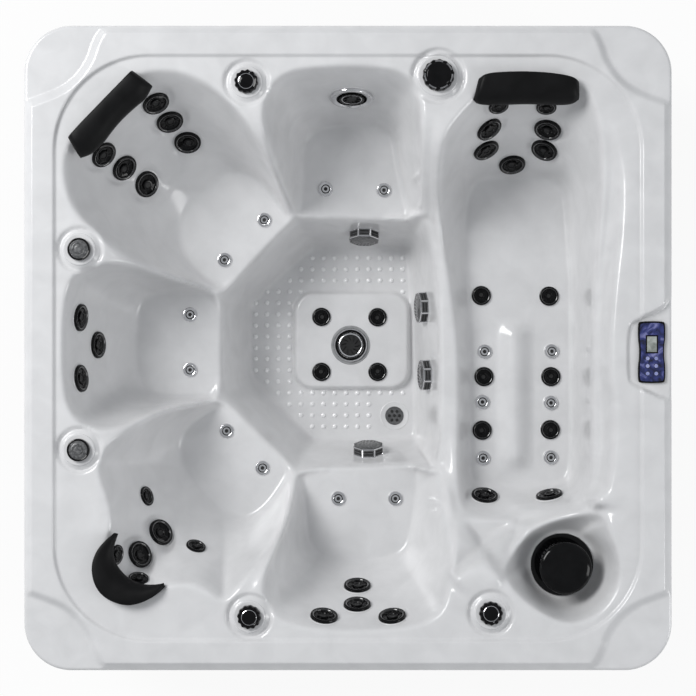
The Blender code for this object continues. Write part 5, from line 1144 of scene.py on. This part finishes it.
def make_blaster():
    """Foot blaster: grey seat, black flange with a bright bead, and a turning nozzle."""
    form = Form()
    place = joint_place("foot_blaster_spin")
    turned(form, BLASTER_RING_PROFILE, BLASTER_RADIUS, RING_SIDES, place)
    looks = ("black_plastic", "chrome", "acrylic", "grey_plastic")
    form.piece("foot_blaster_ring", "tub", looks, "black_plastic", ("foot_blaster",))
    make_nozzle("foot_blaster_face", "foot_blaster_nozzle", "chrome", place,
                BLASTER_NOZZLE_PROFILE, BLASTER_NOZZLE_RADIUS, BLASTER_TEETH, BLASTER_FIN_LEVELS)


# Covers

def hole_ring(form, place, radius, size, level, count, offset=0):
    """A ring of short dark plugs set into a face, their tops painted shade that stands for holes."""
    for k in range(count):
        turn = 2 * math.pi * (k + offset) / count
        well = place @ Matrix.Translation((radius * math.cos(turn), radius * math.sin(turn), level))
        turned(form, HOLE_PROFILE, size, HOLE_SIDES, well)


def make_suction_covers():
    """Eight-sided dark strainers with rings of holes and slots in their sides, both drawn as dark marks of
    painted shade, and chrome corner posts.
    """
    near, corner = SUCTION_RADIUS * SLOT_REACH_SHARE, SUCTION_RADIUS * POST_REACH_SHARE
    for name, (u, v) in SUCTION_COVERS.items():
        form = Form()
        place = surface_place(spot(u, v))
        turned(form, SUCTION_PROFILE, SUCTION_RADIUS, SUCTION_SIDES, spun(place, 180 / SUCTION_SIDES))
        for share, count in SUCTION_RINGS:
            ring = share * SUCTION_RADIUS
            hole_ring(form, place, ring, SUCTION_HOLE, SUCTION_FACE, count, SUCTION_RING_START)
        for side in range(SUCTION_SIDES):
            face = spun(place, 360 * side / SUCTION_SIDES)
            # Dark bars of painted shade stand for the slots.
            for low in SLOT_LEVELS:
                high = low + SLOT_TALL
                block(form, (near, -SLOT_HALF, low), (near + SLOT_DEEP, SLOT_HALF, high), 1, face)
            post = spun(face, 180 / SUCTION_SIDES)
            block(form, (corner - POST_DEEP, -POST_HALF, POST_LOW), (corner, POST_HALF, POST_HIGH), 2, post)
        form.piece(name + "_face", "tub", ("smoke", "dark", "chrome"), "chrome", (name,))


def make_drain():
    form = Form()
    place = surface_place(spot(*DRAIN_SPOT))
    turned(form, DRAIN_PROFILE, DRAIN_RADIUS, RING_SIDES, place)
    # The drain's holes are dark discs: painted shade.
    hole_ring(form, place, 0, DRAIN_HOLE, DRAIN_FACE, 1)
    hole_ring(form, place, DRAIN_RADIUS * DRAIN_RING_SHARE, DRAIN_HOLE, DRAIN_FACE, DRAIN_HOLES)
    form.piece("drain_face", "tub", ("smoke", "dark", "acrylic"), "black_plastic", ("drain_grate",))


# Valves

def segment(form, place, turn):
    """A bright curved strip on the diverter's shoulder: a painted highlight where light gleams on its
    glossy finger dents.
    """
    near, far = (share * DIVERTER_RADIUS for share in SEGMENT_SHARES)
    layers = []
    for level, edge in ((SEGMENT_LOW, 0), (SEGMENT_HIGH, 0), (SEGMENT_HIGH + SEGMENT_SIDE, SEGMENT_SIDE)):
        line = []
        there = range(SEGMENT_PARTS + 1)
        for reach, parts in ((far - edge, there), (near + edge, reversed(there))):
            for part in parts:
                angle = math.radians(turn + SEGMENT_SPREAD * (part / SEGMENT_PARTS - 0.5))
                line.append((reach * math.cos(angle), reach * math.sin(angle), level))
        layers.append(line)
    layered(form, layers, 1, place)


def make_knobs():
    """Caps of the air valves and of the diverter, each turning on its valve."""
    low = (-POINTER_WIDTH / 2, KNOB_RADIUS * POINTER_FROM, KNOB_TOP)
    high = (POINTER_WIDTH / 2, KNOB_RADIUS * POINTER_TO, KNOB_TOP + POINTER_RISE)
    for number, (u, _, _) in enumerate(VALVES[:-1], 1):
        name = f"air_knob_{number}"
        form, place = Form(), joint_place(name + "_turn")
        profile, looks = KNOB_PROFILE, ("black_plastic", "chrome", "dark")
        if u < PALE_KNOB_LIMIT:
            # Its black outer ring is painted shade for the gap round the knob.
            profile, looks = PALE_KNOB_PROFILE, ("knob_grey", "chrome", "black_plastic")
        turned(form, profile, KNOB_RADIUS, KNOB_SIDES, place, KNOB_FLUTES, FLUTE_SHARE)
        block(form, low, high, 1, place)
        form.piece(name + "_cap", name, looks, "black_plastic", (name,))
    form, place = Form(), joint_place("diverter_turn")
    turned(form, DIVERTER_PROFILE, DIVERTER_RADIUS, KNOB_SIDES, place, DIVERTER_FLUTES, FLUTE_SHARE)
    # The bright strips on the shoulder are painted highlights.
    for k in range(DIVERTER_SEGMENTS):
        segment(form, place, 360 * (k + SEGMENT_START) / DIVERTER_SEGMENTS)
    looks = ("black_plastic", "bright", "dark")
    form.piece("diverter_cap", "diverter_knob", looks, "black_plastic", ("diverter_knob",))


def make_valve_seats():
    """White plateaus that carry the knobs, each in its groove in the ledge."""
    form = Form()
    for u, v, radius in VALVES:
        profile = [(radius + out, up) for out, up in PLATEAU_PROFILE]
        turned(form, profile, 1, RING_SIDES, surface_place(spot(u, v)))
    form.piece("valve_seats", "tub", ("acrylic",), "acrylic")


# Filter

def make_filter():
    """Skimmer cage with its many ribs, and the smooth lid that lifts off it."""
    place, height = foot_place("filter_weir")
    form = Form()
    for profile in (CAGE_FOOT, CAGE_TOP):
        turned(form, [(r * CAGE_RADIUS, h * height) for r, h in profile], 1, RING_SIDES, place)
    low = (CAGE_RADIUS * RIB_FROM, -RIB_WIDTH / 2, height * RIB_LOW)
    high = (CAGE_RADIUS * RIB_TO, RIB_WIDTH / 2, height * RIB_HIGH)
    for k in range(CAGE_RIBS):
        block(form, low, high, 0, spun(place, 360 * k / CAGE_RIBS))
    form.piece("skimmer_cage", "tub", ("black_plastic",), "black_plastic", ("filter_weir",))
    place, height = foot_place("filter_lid")
    form = Form()
    turned(form, [(r * LID_RADIUS, h * height) for r, h in LID_PROFILE], 1, RING_SIDES, place)
    looks = ("black_plastic",)
    form.piece("filter_lid_cap", "filter_lid", looks, "black_plastic", ("filter_lid",), LID_ANGLE)


# Control panel

def stacked(form, outline, levels, finish, place):
    """An outline at several levels, each drawn in by its own amount."""
    layers = []
    for level, inset in levels:
        inner = [[c - math.copysign(min(inset, abs(c)), c) for c in point] for point in outline]
        layers.append([(x, y, level) for x, y in inner])
    layered(form, layers, finish, place)


def window(form, grow, low, high, place):
    """A box over the display's place, larger all round by grow."""
    half_x, half_y = WINDOW_WIDTH / 2 + grow, WINDOW_LENGTH / 2 + grow
    block(form, (-half_x, WINDOW_SHIFT - half_y, low), (half_x, WINDOW_SHIFT + half_y, high), 0, place)


def make_panel():
    """Waisted control panel with its printed film, and its grey display."""
    place = surface_place((HALF_WIDTH - PANEL_FROM_EDGE, spot(0, PANEL_ALONG)[1]))
    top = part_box("control_panel")[1].z - place.translation.z - PANEL_CLEAR
    half, waist, end = PANEL_WIDTH / 2, PANEL_WAIST / 2, PANEL_LENGTH / 2
    side = [
        (half - PANEL_CUT, -end, 0), (half, PANEL_CUT - end, 0), (half, -end * PANEL_STRAIGHT, 0),
        (waist, -end * PANEL_BEND, 0), (waist, end * PANEL_BEND, 0), (half, end * PANEL_STRAIGHT, 0),
        (half, end - PANEL_CUT, 0), (half - PANEL_CUT, end, 0),
    ]
    outline = softened(np.array(side + [(-x, -y, 0) for x, y, _ in side]), PANEL_ROUNDS)[:, :2].tolist()
    form = Form()
    bevel = (top - PANEL_BEVEL * BEVEL_START, PANEL_BEVEL * BEVEL_START)
    stacked(form, outline, ((-PANEL_SINK, 0), (top - PANEL_BEVEL, 0), bevel, (top, PANEL_BEVEL)), 0, place)
    film = [(x * FILM_SHARE, y * FILM_LONG_SHARE) for x, y in outline]
    stacked(form, film, ((top - FILM_THICK, 0), (top + FILM_THICK, 0)), 1, place)
    window(form, WINDOW_FRAME, top, top + WINDOW_RISE, place)
    looks = ("black_plastic", "panel_blue")
    form.piece("control_panel_face", "tub", looks, "panel_blue", ("control_panel",))
    form = Form()
    window(form, 0, top, top + WINDOW_RISE + FILM_THICK, place)
    form.piece("display_face", "tub", ("display",), "display", ("display_window",))


def make_buttons():
    for number in range(1, BUTTONS + 1):
        name = f"button_{number}"
        low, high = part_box(name)
        centre = (low + high) / 2
        form = Form()
        place = Matrix.Translation((centre.x, centre.y, high.z - BUTTON_HEIGHT))
        turned(form, BUTTON_PROFILE, (high.x - low.x) / 2, BUTTON_SIDES, place)
        form.piece(name + "_cap", name, ("button", "dark"), "grey_plastic", (name,))


# Pillows

def end_swell(middles):
    """How full the cushion is at each station: its two ends are rounded off."""
    steps = np.linalg.norm(np.diff(middles, axis=0), axis=1)
    along = np.concatenate([[0], np.cumsum(steps)])
    from_end = np.minimum(along, along[-1] - along) + END_START
    return np.sqrt(1 - np.clip(1 - from_end / END_ROUND, 0, 1) ** 2)


def make_pillow(name, droop, *edges):
    """Crowned cushion that laps over the ledge's edge, with a seam round its sides."""
    level = DECK + PILLOW_LIFT
    section = np.array([(*row, 0)[:3] for row in PILLOW_SECTION], float)
    section = softened(section, SECTION_ROUNDS).tolist()
    outer, inner = (softened(placed(edge) * (1, 1, 0), PILLOW_ROUNDS, closed=False) for edge in edges)
    layers = []
    for start, end, swell in zip(outer, inner, end_swell((outer + inner) / 2)):
        wide = min(np.linalg.norm(end - start) / PILLOW_WIDE, 1)
        layer = []
        for side, up, drop in section:
            corner = (start + end) / 2 + (end - start) / 2 * side
            under = shell_height(corner[None, :2])[0]
            resting = level if under > DECK - PILLOW_LIFT else under + PILLOW_CLEARANCE
            height = level + up * PILLOW_THICK * swell * wide ** 0.5 - drop * droop * wide
            layer.append((corner[0], corner[1], max(height, resting)))
        layers.append(layer)
    form = Form()
    layered(form, layers, 0)
    thing = form.piece(name + "_cover", "tub", ("pillow_leather",), "pillow_leather", (name,), SOFT_ANGLE)
    smooth = thing.modifiers.new("Smooth", "SUBSURF")
    smooth.levels = smooth.render_levels = PILLOW_SMOOTHING


# Solids that keep their own shape

def dress_solids():
    """Gives every solid that stays in view its procedural material."""
    for thing in frame["nodes"].values():
        for slot in thing.material_slots:
            name = slot.material.name.split(".")[0] if slot.material else "base_plastic"
            slot.material = FINISHES.get(name, FINISHES["base_plastic"])


# Stage

def make_stage():
    """White floor that glows to the camera and in mirrors, and keeps the tub's shadow."""
    made, tree, shader = material("floor")
    shader.inputs["Base Color"].default_value = (*FLOOR_COLOUR, 1)
    shader.inputs["Roughness"].default_value = FLOOR_ROUGHNESS
    glow = node(tree, "Emission", {"Color": (1, 1, 1, 1), "Strength": 1.0})
    rays = node(tree, "LightPath").outputs
    seen = rays["Is Camera Ray"]
    for ray in ("Is Glossy Ray", "Is Transmission Ray"):
        either = node(tree, "Math", {}, {0: seen, 1: rays[ray]})
        either.operation = "MAXIMUM"
        seen = either.outputs[0]
    share = node(tree, "Math", {1: FLOOR_GLOW}, {0: seen})
    share.operation = "MULTIPLY"
    both = node(tree, "MixShader", {}, {0: share.outputs[0], 1: shader.outputs[0], 2: glow.outputs[0]})
    tree.links.new(both.outputs[0], tree.nodes["Material Output"].inputs["Surface"])
    mesh = bpy.data.meshes.new("floor")
    corners = [(x * FLOOR_REACH, y * FLOOR_REACH, 0) for x, y in ((-1, -1), (1, -1), (1, 1), (-1, 1))]
    mesh.from_pydata(corners, [], [(0, 1, 2, 3)])
    mesh.materials.append(made)
    added("floor", mesh)


def make_lights():
    for name, place, aim, size, power in LAMPS:
        light = bpy.data.lights.new(name, "AREA")
        light.shape = "RECTANGLE"
        light.size, light.size_y = size
        light.energy = power
        lamp = added(name, light)
        lamp.location = place
        lamp.rotation_euler = (Vector(aim) - Vector(place)).to_track_quat("-Z", "Y").to_euler()
    world = bpy.data.worlds.new("studio")
    bpy.context.scene.world = world
    world.use_nodes = True
    back = world.node_tree.nodes["Background"]
    back.inputs["Color"].default_value = (*WORLD_COLOUR, 1)
    back.inputs["Strength"].default_value = WORLD_STRENGTH


def make_camera():
    lens = bpy.data.cameras.new("camera")
    lens.sensor_width = CAMERA_SENSOR
    lens.lens = CAMERA_LENS
    camera = added("camera", lens)
    camera.location = CAMERA_PLACE
    bpy.context.scene.camera = camera


def main():
    dress_solids()
    make_shell()
    make_dimples()
    make_jet_faces()
    make_wide_jet()
    make_blaster()
    make_suction_covers()
    make_drain()
    make_knobs()
    make_valve_seats()
    make_filter()
    make_panel()
    make_buttons()
    for name, shape in PILLOWS.items():
        make_pillow(name, *shape)
    make_stage()
    make_lights()
    make_camera()
    bpy.context.scene.view_settings.view_transform = "Standard"


main()
